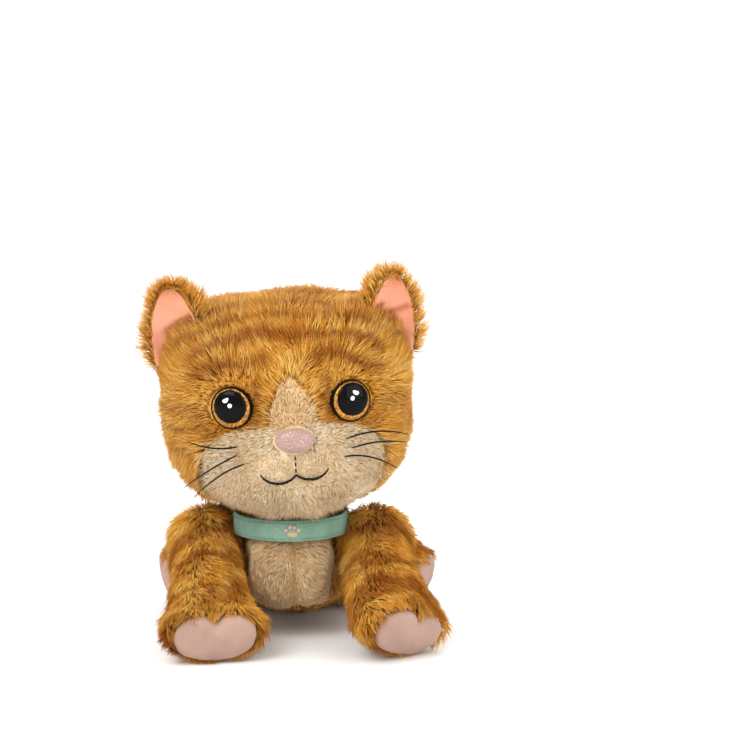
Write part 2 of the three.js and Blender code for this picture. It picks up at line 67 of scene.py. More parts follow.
def smooth(low, high, x):
    t = np.clip((x - low) / (high - low), 0, 1)
    return t * t * (3 - 2 * t)


def bump(x, centre, width):
    return np.exp(-(((x - centre) / width) ** 2))


def ripple(points, wavelength, seed):
    """Smooth noise of about -1 to 1, from ten plane waves."""
    rng = np.random.default_rng(seed)
    waves = unit(rng.normal(size=(10, 3))) * rng.uniform(0.6, 1.5, (10, 1)) * 2 * math.pi / wavelength
    phases = rng.uniform(0, 2 * math.pi, 10)
    return np.sin(points @ waves.T + phases).sum(1) / 3.2


def vertices(obj, field="co"):
    values = np.empty(len(obj.data.vertices) * 3, np.float32)
    obj.data.vertices.foreach_get(field, values)
    return values.reshape(-1, 3).astype(float)


def normals(obj):
    return vertices(obj, "normal")


def set_vertices(obj, co):
    obj.data.vertices.foreach_set("co", co.astype(np.float32).ravel())
    obj.data.update()


def node_points(name):
    return vertices(frame["nodes"][name])


def centre_of(name):
    low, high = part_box(name)
    return np.array((low + high) / 2)


def thin_frame(name, away_from):
    """A flat CAD piece's middle, its normal away from a point, and its spread along the two other axes."""
    points = node_points(name)
    middle = points.mean(0)
    values, axes = np.linalg.eigh(np.cov((points - middle).T))
    normal = axes[:, 0]
    if normal @ (middle - np.asarray(away_from)) < 0:
        normal = -normal
    return middle, normal, axes[:, 2]


JOINTS = {joint["name"]: joint for joint in frame["joints"]}


def joint_at(name):
    joint = JOINTS[name]
    return np.array(joint.get("origin") or joint.get("pos_m") or joint.get("pos"), float)


# The head's own frame: across through the eyes, forward out of the face, up.
NECK = joint_at("head_nod")
EYE_AT = {side: centre_of(f"eye_{side}_rim") for side in ("left", "right")}
HEAD_X = unit(EYE_AT["left"] - EYE_AT["right"])
HEAD_Y = unit(np.cross((0, 0, 1), HEAD_X))
HEAD_Z = np.cross(HEAD_X, HEAD_Y)
HEAD_AXES = np.array([HEAD_X, HEAD_Y, HEAD_Z])
HEAD_AT = NECK + HEAD_X * (((EYE_AT["left"] + EYE_AT["right"]) / 2 - NECK) @ HEAD_X)
EYE_X, EYE_Z, EYE_RADIUS = 44.0, 88.0, 16.0
NOSE_Z = 63.0
HEAD_MIDDLE = np.array([0.0, -8.0, 83.0])


def to_head(points):
    """World metres to the head's frame in millimetres."""
    return (points - HEAD_AT) @ HEAD_AXES.T / MM


def from_head(vectors):
    return vectors @ HEAD_AXES


# Meshes.


def add_object(name, mesh, material=None):
    obj = bpy.data.objects.new(name, mesh)
    bpy.context.scene.collection.objects.link(obj)
    if material:
        mesh.materials.clear()
        mesh.materials.append(material)
    mesh.polygons.foreach_set("use_smooth", np.ones(len(mesh.polygons), bool))
    mesh.update()
    return obj


def mesh_object(name, points, faces, material=None):
    mesh = bpy.data.meshes.new(name)
    mesh.from_pydata([tuple(p) for p in points], [], faces)
    mesh.update()
    mesh.validate()
    return add_object(name, mesh, material)


def settle_modifiers(obj):
    """The object's mesh with its modifiers applied."""
    shown = obj.evaluated_get(bpy.context.evaluated_depsgraph_get())
    mesh = bpy.data.meshes.new_from_object(shown)
    obj.modifiers.clear()
    old = obj.data
    obj.data = mesh
    bpy.data.meshes.remove(old)
    mesh.polygons.foreach_set("use_smooth", np.ones(len(mesh.polygons), bool))
    mesh.update()


def edge_pairs(obj):
    pairs = np.empty(len(obj.data.edges) * 2, np.int32)
    obj.data.edges.foreach_get("vertices", pairs)
    return pairs.reshape(-1, 2)


def relax(obj, rounds, factor=0.5):
    co, pairs = vertices(obj), edge_pairs(obj)
    count = np.bincount(pairs.ravel(), minlength=len(co))[:, None]
    for _ in range(rounds):
        total = np.zeros_like(co)
        np.add.at(total, pairs[:, 0], co[pairs[:, 1]])
        np.add.at(total, pairs[:, 1], co[pairs[:, 0]])
        co += factor * (total / np.maximum(count, 1) - co)
    set_vertices(obj, co)


def largest_island(obj):
    bm = bmesh.new()
    bm.from_mesh(obj.data)
    left, best = set(bm.verts), []
    while left:
        seed = left.pop()
        group, queue = [seed], [seed]
        while queue:
            for edge in queue.pop().link_edges:
                for vert in edge.verts:
                    if vert in left:
                        left.discard(vert)
                        group.append(vert)
                        queue.append(vert)
        if len(group) > len(best):
            best = group
    keep = set(best)
    bmesh.ops.delete(bm, geom=[v for v in bm.verts if v not in keep], context="VERTS")
    bm.to_mesh(obj.data)
    bm.free()


def inflate(obj, cap, rounds=20):
    """Cloth pressure swells the skin, and no point moves further than cap."""
    start = vertices(obj)
    cloth = obj.modifiers.new("cloth", "CLOTH")
    settings = cloth.settings
    settings.quality = 4
    settings.use_pressure = True
    settings.uniform_pressure_force = 4
    settings.effector_weights.gravity = 0
    cloth.point_cache.frame_start = 1
    cloth.point_cache.frame_end = rounds
    for step in range(1, rounds + 1):
        bpy.context.scene.frame_set(step)
    shown = obj.evaluated_get(bpy.context.evaluated_depsgraph_get())
    co = np.empty(len(start) * 3, np.float32)
    shown.data.vertices.foreach_get("co", co)
    move = co.reshape(-1, 3) - start
    move -= move.mean(0)
    length = np.linalg.norm(move, axis=1, keepdims=True)
    obj.modifiers.remove(cloth)
    bpy.context.scene.frame_set(1)
    set_vertices(obj, start + move * np.minimum(1, cap / np.maximum(length, 1e-9)))


def stuffed_skin(name, body, nodes, inset, voxel=5 * MM, cap=2.5 * MM):
    """A stuffed cloth skin in the space of its CAD nodes, inset(points) metres inside them."""
    bm = bmesh.new()
    for node in nodes:
        bm.from_mesh(frame["nodes"][node].data)
    mesh = bpy.data.meshes.new(name)
    bm.to_mesh(mesh)
    bm.free()
    skin = add_object(name, mesh)
    remesh = skin.modifiers.new("remesh", "REMESH")
    remesh.mode = "VOXEL"
    remesh.voxel_size = voxel
    settle_modifiers(skin)
    largest_island(skin)
    relax(skin, 6)
    co = vertices(skin)
    set_vertices(skin, co - normals(skin) * inset(co)[:, None])
    relax(skin, 4)
    inflate(skin, cap)
    relax(skin, 2)
    skin.modifiers.new("fine", "SUBSURF").levels = 1
    settle_modifiers(skin)
    co = vertices(skin)
    co[:, 2] = np.maximum(co[:, 2], 0.6 * MM)
    set_vertices(skin, co)
    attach(skin, body)
    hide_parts(*nodes)
    return skin


def place(piece, body, slot, *nodes):
    """Rides a piece on its body, instead of its CAD nodes. The slot argument is not used."""
    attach(piece, body)
    if nodes:
        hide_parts(*nodes)


def ring_quads(rings, around, closed=False):
    """Quads between successive rings of points, and back to the first ring if closed."""
    faces = []
    for ring in range(rings if closed else rings - 1):
        low, high = ring * around, (ring + 1) % rings * around
        for k in range(around):
            b = (k + 1) % around
            faces.append((low + k, low + b, high + b, high + k))
    return faces


def tube(name, path, radii, material, sides=10):
    """A closed round tube along a path, with a radius at each point and rounded ends."""
    path, radii = np.asarray(path, float), np.asarray(radii, float)
    ahead = unit(np.gradient(path, axis=0))
    side = unit(np.cross(ahead, (0.13, 0.21, 0.97)))
    top = np.cross(side, ahead)
    turns = np.arange(sides) * 2 * math.pi / sides
    rings = (
        path[:, None]
        + radii[:, None, None] * np.cos(turns)[None, :, None] * side[:, None]
        + radii[:, None, None] * np.sin(turns)[None, :, None] * top[:, None]
    )
    ends = [path[0] - ahead[0] * radii[0] * 0.6, path[-1] + ahead[-1] * radii[-1] * 0.6]
    points = [*rings.reshape(-1, 3), *ends]
    faces = ring_quads(len(path), sides)
    first, last, end = len(points) - 2, len(points) - 1, (len(path) - 1) * sides
    for k in range(sides):
        faces.append((first, (k + 1) % sides, k))
        faces.append((last, end + k, end + (k + 1) % sides))
    return mesh_object(name, points, faces, material)


def join(name, pieces):
    """One object of several, with their materials."""
    with bpy.context.temp_override(active_object=pieces[0], selected_editable_objects=pieces):
        bpy.ops.object.join()
    pieces[0].name = name
    return pieces[0]


def basis(normal, across):
    """Columns across, up and normal."""
    normal = unit(normal)
    across = unit(across - (across @ normal) * normal)
    return np.array([across, np.cross(normal, across), normal]).T


def lathe(name, outline, at, axes, material, around=64):
    """A turned solid by its [radius, height] outline in millimetres, about a frame's normal."""
    turns = np.arange(around) * 2 * math.pi / around
    points, faces = [], []
    for radius, height in outline:
        ring = np.stack([np.cos(turns) * radius, np.sin(turns) * radius, np.full(around, height)], 1)
        points.extend(at + (ring * MM) @ axes.T)
    for ring in range(len(outline)):
        nxt = (ring + 1) % len(outline)
        if ring == len(outline) - 1 and outline[0][0] < 0.01:
            break
        for k in range(around):
            b = (k + 1) % around
            faces.append((ring * around + k, ring * around + b, nxt * around + b, nxt * around + k))
    obj = mesh_object(name, points, faces, material)
    bm = bmesh.new()
    bm.from_mesh(obj.data)
    bmesh.ops.remove_doubles(bm, verts=bm.verts, dist=1e-6)
    bmesh.ops.recalc_face_normals(bm, faces=bm.faces)
    bm.to_mesh(obj.data)
    bm.free()
    return obj


# Materials.


class Nodes:
    """A node material, with short calls for the nodes that the finishes share."""

    def __init__(self, name, roughness=0.8, **inputs):
        self.material = bpy.data.materials.new(name)
        self.material.use_nodes = True
        self.tree = self.material.node_tree
        self.shader = self.tree.nodes["Principled BSDF"]
        self.shader.inputs["Roughness"].default_value = roughness
        for key, value in inputs.items():
            self.shader.inputs[key.replace("_", " ")].default_value = value

    def add(self, kind, **settings):
        node = self.tree.nodes.new(kind)
        for key, value in settings.items():
            setattr(node, key, value)
        return node

    def wire(self, out, into):
        """Links an output, or sets a number or a colour, on an input."""
        if isinstance(out, tuple):
            into.default_value = (*out, 1)
        elif isinstance(out, (int, float)):
            into.default_value = out
        else:
            self.tree.links.new(out, into)

    def attribute(self, name, kind="Fac"):
        return self.add("ShaderNodeAttribute", attribute_name=name).outputs[kind]

    def noise(self, scale, detail=3.0, vector=None, distortion=0.0):
        node = self.add("ShaderNodeTexNoise")
        node.inputs["Scale"].default_value = scale
        node.inputs["Detail"].default_value = detail
        node.inputs["Distortion"].default_value = distortion
        if vector is None:
            vector = self.add("ShaderNodeTexCoord").outputs["Object"]
        self.wire(vector, node.inputs["Vector"])
        return node.outputs["Fac"]

    def ramp(self, value, *stops):
        node = self.add("ShaderNodeValToRGB")
        elements = node.color_ramp.elements
        while len(elements) < len(stops):
            elements.new(0.5)
        for element, (at, colour) in zip(elements, stops):
            element.position = at
            element.color = (*colour, 1) if isinstance(colour, tuple) else (colour, colour, colour, 1)
        self.wire(value, node.inputs["Fac"])
        return node.outputs["Color"]

    def mix(self, factor, a, b, blend="MIX"):
        node = self.add("ShaderNodeMix", data_type="RGBA", blend_type=blend)
        for value, into in ((factor, node.inputs[0]), (a, node.inputs[6]), (b, node.inputs[7])):
            self.wire(value, into)
        return node.outputs[2]

    def math(self, operation, a, b=0.0):
        node = self.add("ShaderNodeMath", operation=operation)
        for value, into in zip((a, b), node.inputs):
            self.wire(value, into)
        return node.outputs[0]

    def colour(self, output):
        self.wire(output, self.shader.inputs["Base Color"])

    def bump(self, height, distance, strength=1.0):
        node = self.add("ShaderNodeBump")
        node.inputs["Distance"].default_value = distance
        node.inputs["Strength"].default_value = strength
        self.wire(height, node.inputs["Height"])
        self.wire(node.outputs["Normal"], self.shader.inputs["Normal"])


def srgb(red, green, blue):
    shares = (red / 255, green / 255, blue / 255)
    return tuple(((c + 0.055) / 1.055) ** 2.4 if c > 10 / 255 else c / 12.92 for c in shares)


def pile_material(name, sheen):
    """Pile coloured by strand: ginger with tabby stripes, and cream where the cream attribute says, each
    strand darkened towards its root as painted shade between the strands.
    """
    m = Nodes(name, roughness=0.7, Sheen_Weight=sheen, Sheen_Roughness=0.4, Specular_IOR_Level=0.15)
    m.shader.inputs["Sheen Tint"].default_value = (1.0, 0.75, 0.45, 1)
    root = m.attribute("root", "Vector")
    rand, along = m.attribute("rand"), m.attribute("along")
    blotch = m.noise(55, 4, root, 0.6)
    fleck = m.noise(420, 2, root)
    tone = m.math("ADD", m.math("MULTIPLY", blotch, 0.75), m.math("MULTIPLY", rand, 0.45))
    ginger = m.ramp(
        tone,
        (0.25, srgb(190, 114, 18)),
        (0.52, srgb(228, 156, 42)),
        (0.8, srgb(248, 202, 108)),
    )
    strength = m.math("MULTIPLY", m.attribute("stripe"), m.ramp(fleck, (0.2, 0.8), (0.6, 1.0)))
    striped = m.mix(strength, ginger, m.ramp(rand, (0.0, srgb(132, 58, 4)), (1.0, srgb(174, 88, 10))))
    cream = m.ramp(tone, (0.3, srgb(224, 190, 144)), (0.6, srgb(242, 215, 173)), (0.85, srgb(252, 236, 206)))
    coat = m.mix(m.attribute("cream"), striped, cream)
    # Painted shade: the along attribute darkens each strand towards its root, where the pile shades itself.
    shade = m.ramp(along, (0.0, 0.52), (0.35, 0.84), (1.0, 1.0))
    m.colour(m.mix(1.0, coat, shade, "MULTIPLY"))
    return m.material


def plush_material(name, low, high, weave=1500, height=0.00025, sheen=0.4, crease_shade=None):
    m = Nodes(name, roughness=0.82, Sheen_Weight=sheen, Sheen_Roughness=0.35, Specular_IOR_Level=0.2)
    where = m.add("ShaderNodeTexCoord").outputs["Object"]
    patches, nap = m.noise(45, 3, where), m.noise(weave, 2, where)
    tone = m.math("ADD", m.math("MULTIPLY", patches, 0.6), m.math("MULTIPLY", nap, 0.4))
    colour = m.ramp(tone, (0.35, low), (0.65, high))
    # Painted shade: darker where the attribute marks creases and folds.
    if crease_shade:
        colour = m.mix(m.attribute("crease_shade"), colour, crease_shade)
    m.colour(colour)
    m.bump(nap, height, 0.6)
    return m.material


def satin_material():
    m = Nodes("nose_satin", roughness=0.36, Sheen_Weight=0.25, Specular_IOR_Level=0.6)
    m.shader.inputs["Coat Weight"].default_value = 0.25
    m.shader.inputs["Coat Roughness"].default_value = 0.3
    where = m.add("ShaderNodeTexCoord").outputs["Object"]
    weave = m.add("ShaderNodeTexVoronoi")
    weave.inputs["Scale"].default_value = 2100
    m.wire(where, weave.inputs["Vector"])
    stops = (0.3, srgb(150, 114, 104)), (0.75, srgb(168, 132, 120)), (0.92, srgb(222, 200, 190))
    m.colour(m.ramp(weave.outputs["Color"], *stops))
    m.bump(weave.outputs["Distance"], 0.00025, 0.5)
    return m.material


def thread_material(name, dark, light):
    m = Nodes(name, roughness=0.6, Sheen_Weight=0.05, Specular_IOR_Level=0.15)
    wave = m.add("ShaderNodeTexWave")
    wave.inputs["Scale"].default_value = 900
    wave.inputs["Distortion"].default_value = 1.5
    m.wire(m.add("ShaderNodeTexCoord").outputs["Object"], wave.inputs["Vector"])
    m.colour(m.ramp(wave.outputs["Fac"], (0.2, dark), (0.8, light)))
    m.bump(wave.outputs["Fac"], 0.0002, 0.5)
    return m.material


def iris_material():
    m = Nodes("eye_gold", roughness=0.3, Metallic=0.4, Specular_IOR_Level=0.4)
    where = m.add("ShaderNodeTexCoord").outputs["Object"]
    flakes = m.add("ShaderNodeTexVoronoi")
    flakes.inputs["Scale"].default_value = 1400
    m.wire(where, flakes.inputs["Vector"])
    stops = (0.15, srgb(88, 44, 6)), (0.5, srgb(158, 92, 20)), (0.88, srgb(236, 178, 76))
    m.colour(m.ramp(flakes.outputs["Color"], *stops))
    m.bump(flakes.outputs["Distance"], 0.0003, 0.7)
    return m.material


def gloss_material(name, low, high, roughness):
    m = Nodes(name, roughness=roughness, Specular_IOR_Level=0.1)
    m.colour(m.ramp(m.noise(300, 2), (0.3, low), (0.7, high)))
    return m.material


PILE = pile_material("ginger_pile", 0.1)
SHORT_PILE = pile_material("cream_pile", 0.1)
PINK = plush_material("pink_plush", srgb(160, 130, 117), srgb(175, 144, 130), sheen=0.12)
# Painted shade colour for the ear lining's creases and folds.
ROSE_CREASE_SHADE = srgb(164, 82, 54)
ROSE = plush_material("ear_lining", srgb(210, 138, 108), srgb(224, 158, 130), sheen=0.12, crease_shade=ROSE_CREASE_SHADE)
SAGE = plush_material("sage_fleece", srgb(98, 132, 114), srgb(128, 161, 141), 1100, 0.0005)
SATIN = satin_material()
BLACK_THREAD = thread_material("black_thread", srgb(3, 3, 3), srgb(16, 15, 15))
PAW_THREAD = thread_material("paw_thread", srgb(176, 146, 120), srgb(226, 206, 184))
GOLD = iris_material()
EYE_BLACK = gloss_material("eye_black", srgb(2, 2, 2), srgb(6, 5, 5), 0.1)
EYE_WHITE = gloss_material("eye_white", srgb(236, 238, 242), srgb(255, 255, 255), 0.25)
HOOK_TAPE = plush_material("hook_tape", srgb(84, 114, 98), srgb(112, 142, 124), 2200, 0.0006)


# Pile grown as mesh strands.


def set_attribute(mesh, name, kind, values):
    attribute = mesh.attributes.new(name, kind, "POINT")
    field = "vector" if kind == "FLOAT_VECTOR" else "value"
    attribute.data.foreach_set(field, values.astype(np.float32).ravel())


def paint_skin(skin, groom, material):
    """Gives a skin the colours of the pile that grows from it, with painted shade: darker, as at the pile's
    roots.
    """
    co = vertices(skin)
    coat = groom(co, normals(skin))
    mesh = skin.data
    set_attribute(mesh, "root", "FLOAT_VECTOR", co)
    # Painted shade: along 0.45 puts the skin low on the pile's root-darkening ramp.
    set_attribute(mesh, "along", "FLOAT", np.full(len(co), 0.45))
    set_attribute(mesh, "rand", "FLOAT", np.full(len(co), 0.4))
    for key in ("stripe", "cream"):
        set_attribute(mesh, key, "FLOAT", np.broadcast_to(coat[key], len(co)))
    mesh.materials.clear()
    mesh.materials.append(material)


def sample_skin(skin, count, rng):
    mesh = skin.data
    mesh.calc_loop_triangles()
    triangles = np.empty(len(mesh.loop_triangles) * 3, np.int32)
    mesh.loop_triangles.foreach_get("vertices", triangles)
    triangles = triangles.reshape(-1, 3)
    co, no = vertices(skin), normals(skin)
    a, b, c = (co[triangles[:, k]] for k in range(3))
    area = np.linalg.norm(np.cross(b - a, c - a), axis=1)
    chosen = rng.choice(len(triangles), count, p=area / area.sum())
    u, v = np.sqrt(rng.random(count)), rng.random(count)
    weights = np.stack([1 - u, u * (1 - v), u * v], 1)
    points = sum(co[triangles[chosen, k]] * weights[:, k : k + 1] for k in range(3))
    directions = sum(no[triangles[chosen, k]] * weights[:, k : k + 1] for k in range(3))
    return points, unit(directions)


def clump(roots, tips, middles, share, pull):
    """Draws each strand's tip towards a neighbour's, so that the pile lies in tufts."""
    leaders = np.flatnonzero(share)
    if len(leaders) < 2:
        return
    tree = KDTree(len(leaders))
    for k, leader in enumerate(leaders):
        tree.insert(roots[leader], k)
    tree.balance()
    nearest = leaders[[tree.find(root)[1] for root in roots]]
    offset = tips[nearest] - tips
    reach = np.linalg.norm(offset, axis=1, keepdims=True)
    offset *= pull[:, None] * np.exp(-reach / (9 * MM))
    tips += offset
    middles += offset * 0.35


def grow_pile(name, skin, body, slot, material, count, groom, seed, width=1.0, tuft=0.03):
    """Pile on a skin as three-sided strands, as groom(points, normals) lays and colours it."""
    rng = np.random.default_rng(seed)
    points, directions = sample_skin(skin, int(count * PILE_SHARE), rng)
    coat = groom(points, directions)
    n = len(points)
    coat = {key: np.broadcast_to(value, (n, 3) if key == "flow" else n) for key, value in coat.items()}
    kept = rng.random(n) < coat["keep"]
    points, directions = points[kept], directions[kept]
    coat = {key: value[kept] for key, value in coat.items()}
    order = np.argsort(points[:, 0])
    points, directions = points[order], directions[order]
    coat = {key: value[order] for key, value in coat.items()}
    n = len(points)

    flow = coat["flow"] - (coat["flow"] * directions).sum(1, keepdims=True) * directions
    flow = unit(flow)
    sway = ripple(points, 34 * MM, seed + 1)[:, None] * np.cross(directions, flow) * 0.45
    flow = flow + sway + rng.normal(size=(n, 3)) * 0.22
    flow = unit(flow - (flow * directions).sum(1, keepdims=True) * directions)
    lean = coat["lean"] + rng.normal(size=n) * 0.1
    length = coat["length"] * rng.uniform(0.72, 1.12, n) * (1 + 0.14 * ripple(points, 22 * MM, seed + 2))

    def toward(angle):
        return np.cos(angle)[:, None] * directions + np.sin(angle)[:, None] * flow

    middles = points + toward(lean * 0.72) * (length * 0.48)[:, None]
    tips = middles + toward(np.minimum(lean * 1.25, 1.5)) * (length * 0.54)[:, None]
    clump(points, tips, middles, rng.random(n) < tuft, rng.uniform(0.25, 0.75, n))

    half = PILE_WIDTH * width * rng.uniform(0.38, 0.62, n)
    side = np.cross(directions, flow)
    rings = []
    roots = points - directions * 0.4 * MM
    for base, ahead, size in ((roots, directions, 1.0), (middles, unit(tips - points), 0.8)):
        top = unit(np.cross(ahead, side))
        for turn in (0.0, 2.094, 4.189):
            offset = math.cos(turn) * side + math.sin(turn) * top
            rings.append(base + offset * (half * size)[:, None])
    co = np.stack([*rings, tips], 1)
    co[:, :, 2] = np.maximum(co[:, :, 2], 0.25 * MM)

    shades = {"rand": rng.random(n), "stripe": coat["stripe"], "cream": coat["cream"]}
    parts = math.ceil(n / MOST_STRANDS)
    for part, chosen in enumerate(np.array_split(np.arange(n), parts)):
        label = name if parts == 1 else f"{name}_{part + 1}"
        own = {key: values[chosen] for key, values in shades.items()}
        pile = strand_mesh(label, co[chosen], points[chosen], own, material)
        place(pile, body, slot)


def strand_mesh(name, co, roots, shades, material):
    """Strands of seven points each: three at the root, three at the middle and the tip."""
    n = len(co)
    corners = np.array([0, 1, 4, 3, 1, 2, 5, 4, 2, 0, 3, 5, 3, 4, 6, 4, 5, 6, 5, 3, 6, 2, 1, 0])
    starts = np.array([0, 4, 8, 12, 15, 18, 21])
    loops = (np.arange(n)[:, None] * 7 + corners).ravel()
    mesh = bpy.data.meshes.new(name)
    mesh.vertices.add(n * 7)
    mesh.vertices.foreach_set("co", co.astype(np.float32).ravel())
    mesh.loops.add(len(loops))
    mesh.loops.foreach_set("vertex_index", loops.astype(np.int32))
    mesh.polygons.add(n * 7)
    mesh.polygons.foreach_set("loop_start", (np.arange(n)[:, None] * 24 + starts).ravel().astype(np.int32))
    mesh.update(calc_edges=True)

    set_attribute(mesh, "root", "FLOAT_VECTOR", np.repeat(roots, 7, axis=0))
    # along runs from root to tip; the pile material turns its low end into painted root shade.
    set_attribute(mesh, "along", "FLOAT", np.tile([0.1, 0.1, 0.1, 0.55, 0.55, 0.55, 1.0], n))
    for key, values in shades.items():
        set_attribute(mesh, key, "FLOAT", np.repeat(values, 7))

    cells = math.ceil(math.sqrt(n))
    corner = np.stack([np.arange(n) % cells, np.arange(n) // cells], 1) / cells
    rows = ([0.1, 0.1], [0.5, 0.2], [0.9, 0.1]), ([0.1, 0.55], [0.5, 0.65], [0.9, 0.55])
    inside = np.array([*rows[0], *rows[1], [0.5, 0.95]])
    places = (corner[:, None] + inside[None] / cells).reshape(-1, 2)
    uv = mesh.uv_layers.new(name="OFBake")
    uv.data.foreach_set("uv", places[loops].astype(np.float32).ravel())
    return add_object(name, mesh, material)


# Grooms.


def eye_distance(x, z):
    return np.minimum(np.hypot(x - EYE_X, z - EYE_Z), np.hypot(x + EYE_X, z - EYE_Z))


def muzzle_mask(x, y, z):
    reach = (np.abs(x) / 66) ** 3 + (np.abs(z - 35) / 38) ** 3
    return smooth(1.1, 0.95, reach) * smooth(-20, -34, y)


def blaze_mask(x, y, z):
    half_width = np.interp(z, [60, 74, 86, 96, 103, 107], [18, 15.5, 14, 10, 4.5, 0])
    return smooth(1.5, -1.5, np.abs(x) - half_width) * (z > 60) * (z < 107) * (y < -30)


def head_stripes(p, x, y, z):
    turn = np.degrees(np.arctan2(z - HEAD_MIDDLE[2], HEAD_MIDDLE[1] - y))
    turn = turn + 1.8 * ripple(p, 34 * MM, 5)
    broken = 0.95 + 0.35 * ripple(p, 40 * MM, 8)
    stripes = np.zeros(len(x))
    for centre, width, strength, low, high in (
        (27, 3.4, 0.95, 12, 64),
        (40, 3.2, 1.0, 0, 66),
        (52.5, 2.8, 1.0, 0, 84),
        (63, 2.8, 1.0, 0, 84),
        (76, 3.4, 0.7, 0, 84),
        (93, 3.6, 0.8, 0, 80),
        (110, 4, 0.8, 0, 80),
        (128, 4, 0.8, 0, 80),
        (147, 4.4, 0.8, 0, 80),
        (168, 4.4, 0.7, 0, 80),
        (6, 4, 0.7, 66, 120),
        (-12, 4.5, 0.7, 70, 120),
        (-30, 5, 0.6, 70, 120),
    ):
        across = smooth(low - 6, low + 3, np.abs(x)) * smooth(high + 6, high - 6, np.abs(x))
        stripes = np.maximum(stripes, bump(turn, centre, width) * strength * across)
    beside_blaze = 0.75 * bump(np.abs(x), 22, 6) * smooth(62, 74, z) * smooth(112, 96, z) * (y < -30)
    ring = np.hypot(np.abs(x) - EYE_X, z - EYE_Z)
    under_eye = 0.5 * bump(ring, 21, 5) * smooth(EYE_Z + 6, EYE_Z - 8, z)
    return np.clip(np.maximum(stripes * np.clip(broken, 0.3, 1), np.maximum(beside_blaze, under_eye)), 0, 1)


def head_groom(p, n):
    x, y, z = to_head(p).T
    ring = eye_distance(x, z)
    front = smooth(-20, -50, y)
    muzzle = muzzle_mask(x, y, z)
    cream = np.maximum(muzzle, 0.72 * blaze_mask(x, y, z))
    from_nose = np.stack([x, y + 84, z - 68], 1)
    radial = unit(from_nose)
    cheek = smooth(50, 85, np.abs(x)) * smooth(110, 70, z)
    back = smooth(10, 50, y)
    flow = radial + cheek[:, None] * np.stack([0.5 * np.sign(x), 0.2 + 0 * x, -0.75 + 0 * x], 1)
    flow = flow + back[:, None] * np.array([0, 0, -1.6])
    jowl = smooth(30, 5, z) * (1 - muzzle)
    flow = flow + jowl[:, None] * np.array([0, 0.1, -0.8])
    length = 17.0 - 5.0 * front * smooth(60, 20, np.abs(x)) * smooth(130, 100, z)
    length = length * (0.42 + 0.58 * smooth(17, 32, ring + 40 * (1 - front)))
    length = np.where(muzzle > 0.5, 7.5 + 5 * smooth(28, 6, z), length)
    length = np.where((blaze_mask(x, y, z) > 0.5) & (muzzle < 0.5), 6.0, length)
    length = length + 9 * jowl
    near_ear = smooth(48, 22, np.sqrt((np.abs(x) - 72) ** 2 + (y * 0.7) ** 2 + (z - 136) ** 2))
    length = length + 1 * near_ear
    flow = flow + near_ear[:, None] * np.stack([0.5 * np.sign(x), 0 * x, 1.3 + 0 * x], 1)
    mouth = (np.abs(x) < 27) & (z < 55) & (z > 29) & (y < -60)
    length = np.where(mouth, np.minimum(length, 4.2), length)
    nose = np.hypot(x / 14.5, (z - NOSE_Z) / 9.5) < 1.0
    keep = np.where((ring < EYE_RADIUS - 0.9) & (y < -40), 0.0, 1.0) * np.where(nose & (y < -70), 0.0, 1.0)
    neck = np.hypot(x, y) < 27
    keep = keep * np.where(neck & (z < 20), 0.0, 1.0)
    lean = np.where(muzzle > 0.5, 1.22, 1.12) - 0.35 * smooth(26, 8, z) * (muzzle > 0.5)
    lean = lean - 0.25 * smooth(30, 17, ring) * front - 0.25 * near_ear
    stripe = head_stripes(p, x, y, z) * (1 - cream)
    return dict(keep=keep, length=length * MM, flow=from_head(flow), lean=lean, stripe=stripe, cream=cream)


def in_zone(groom, zone):
    """A groom that grows only inside or outside the cream zones."""

    def zoned(p, n):
        coat = groom(p, n)
        chosen = coat["cream"] > 0.35 if zone == "cream" else coat["cream"] <= 0.35
        return {**coat, "keep": coat["keep"] * chosen}

    return zoned


CHEST_HIGH = np.maximum(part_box("chest_left_panel")[1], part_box("chest_right_panel")[1])
CHEST_SEAM = (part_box("chest_left_panel")[0].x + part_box("chest_right_panel")[1].x) / 2
TORSO_LOW = np.minimum(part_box("torso_left_panel")[0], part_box("torso_right_panel")[0])


def torso_groom(p, n):
    x, y, z = p.T
    cream = smooth(CHEST_HIGH[1] + 4 * MM, CHEST_HIGH[1] - 3 * MM, y)
    from_seam = (x - CHEST_SEAM) / MM
    chest_flow = np.stack([np.tanh(from_seam / 12) * 0.7, 0 * x - 0.1, 0 * x - 0.85], 1)
    body_flow = np.stack([np.sign(x) * 0.25, 0.75 + 0 * x, -0.55 + 0 * x], 1)
    flow = cream[:, None] * chest_flow + (1 - cream[:, None]) * body_flow
    seam = bump(from_seam, 0, 2.6) * cream
    length = np.where(cream > 0.5, 9.5 - 6.5 * seam, 16.0)
    along = (y - TORSO_LOW[1]) / MM + 5 * ripple(p, 45 * MM, 21)
    bands = smooth(0.25, 0.8, 0.5 + 0.5 * np.sin(along * 2 * math.pi / 27))
    stripe = (1 - cream) * bands * (0.75 + 0.4 * ripple(p, 35 * MM, 22))
    # Painted shade: along the chest seam, where the pile parts, the pile is painted darker and less cream.
    stripe = np.clip(stripe + 0.5 * seam, 0, 1)
    cream = cream * (0.76 - 0.3 * seam)
    under_neck = np.linalg.norm(p - NECK, axis=1) < 31 * MM
    keep = np.where(under_neck, 0.0, 1.0) * np.where(z < 3 * MM, 0.25, 1.0)
    return dict(keep=keep, length=length * MM, flow=flow, lean=1.12, stripe=stripe, cream=cream)


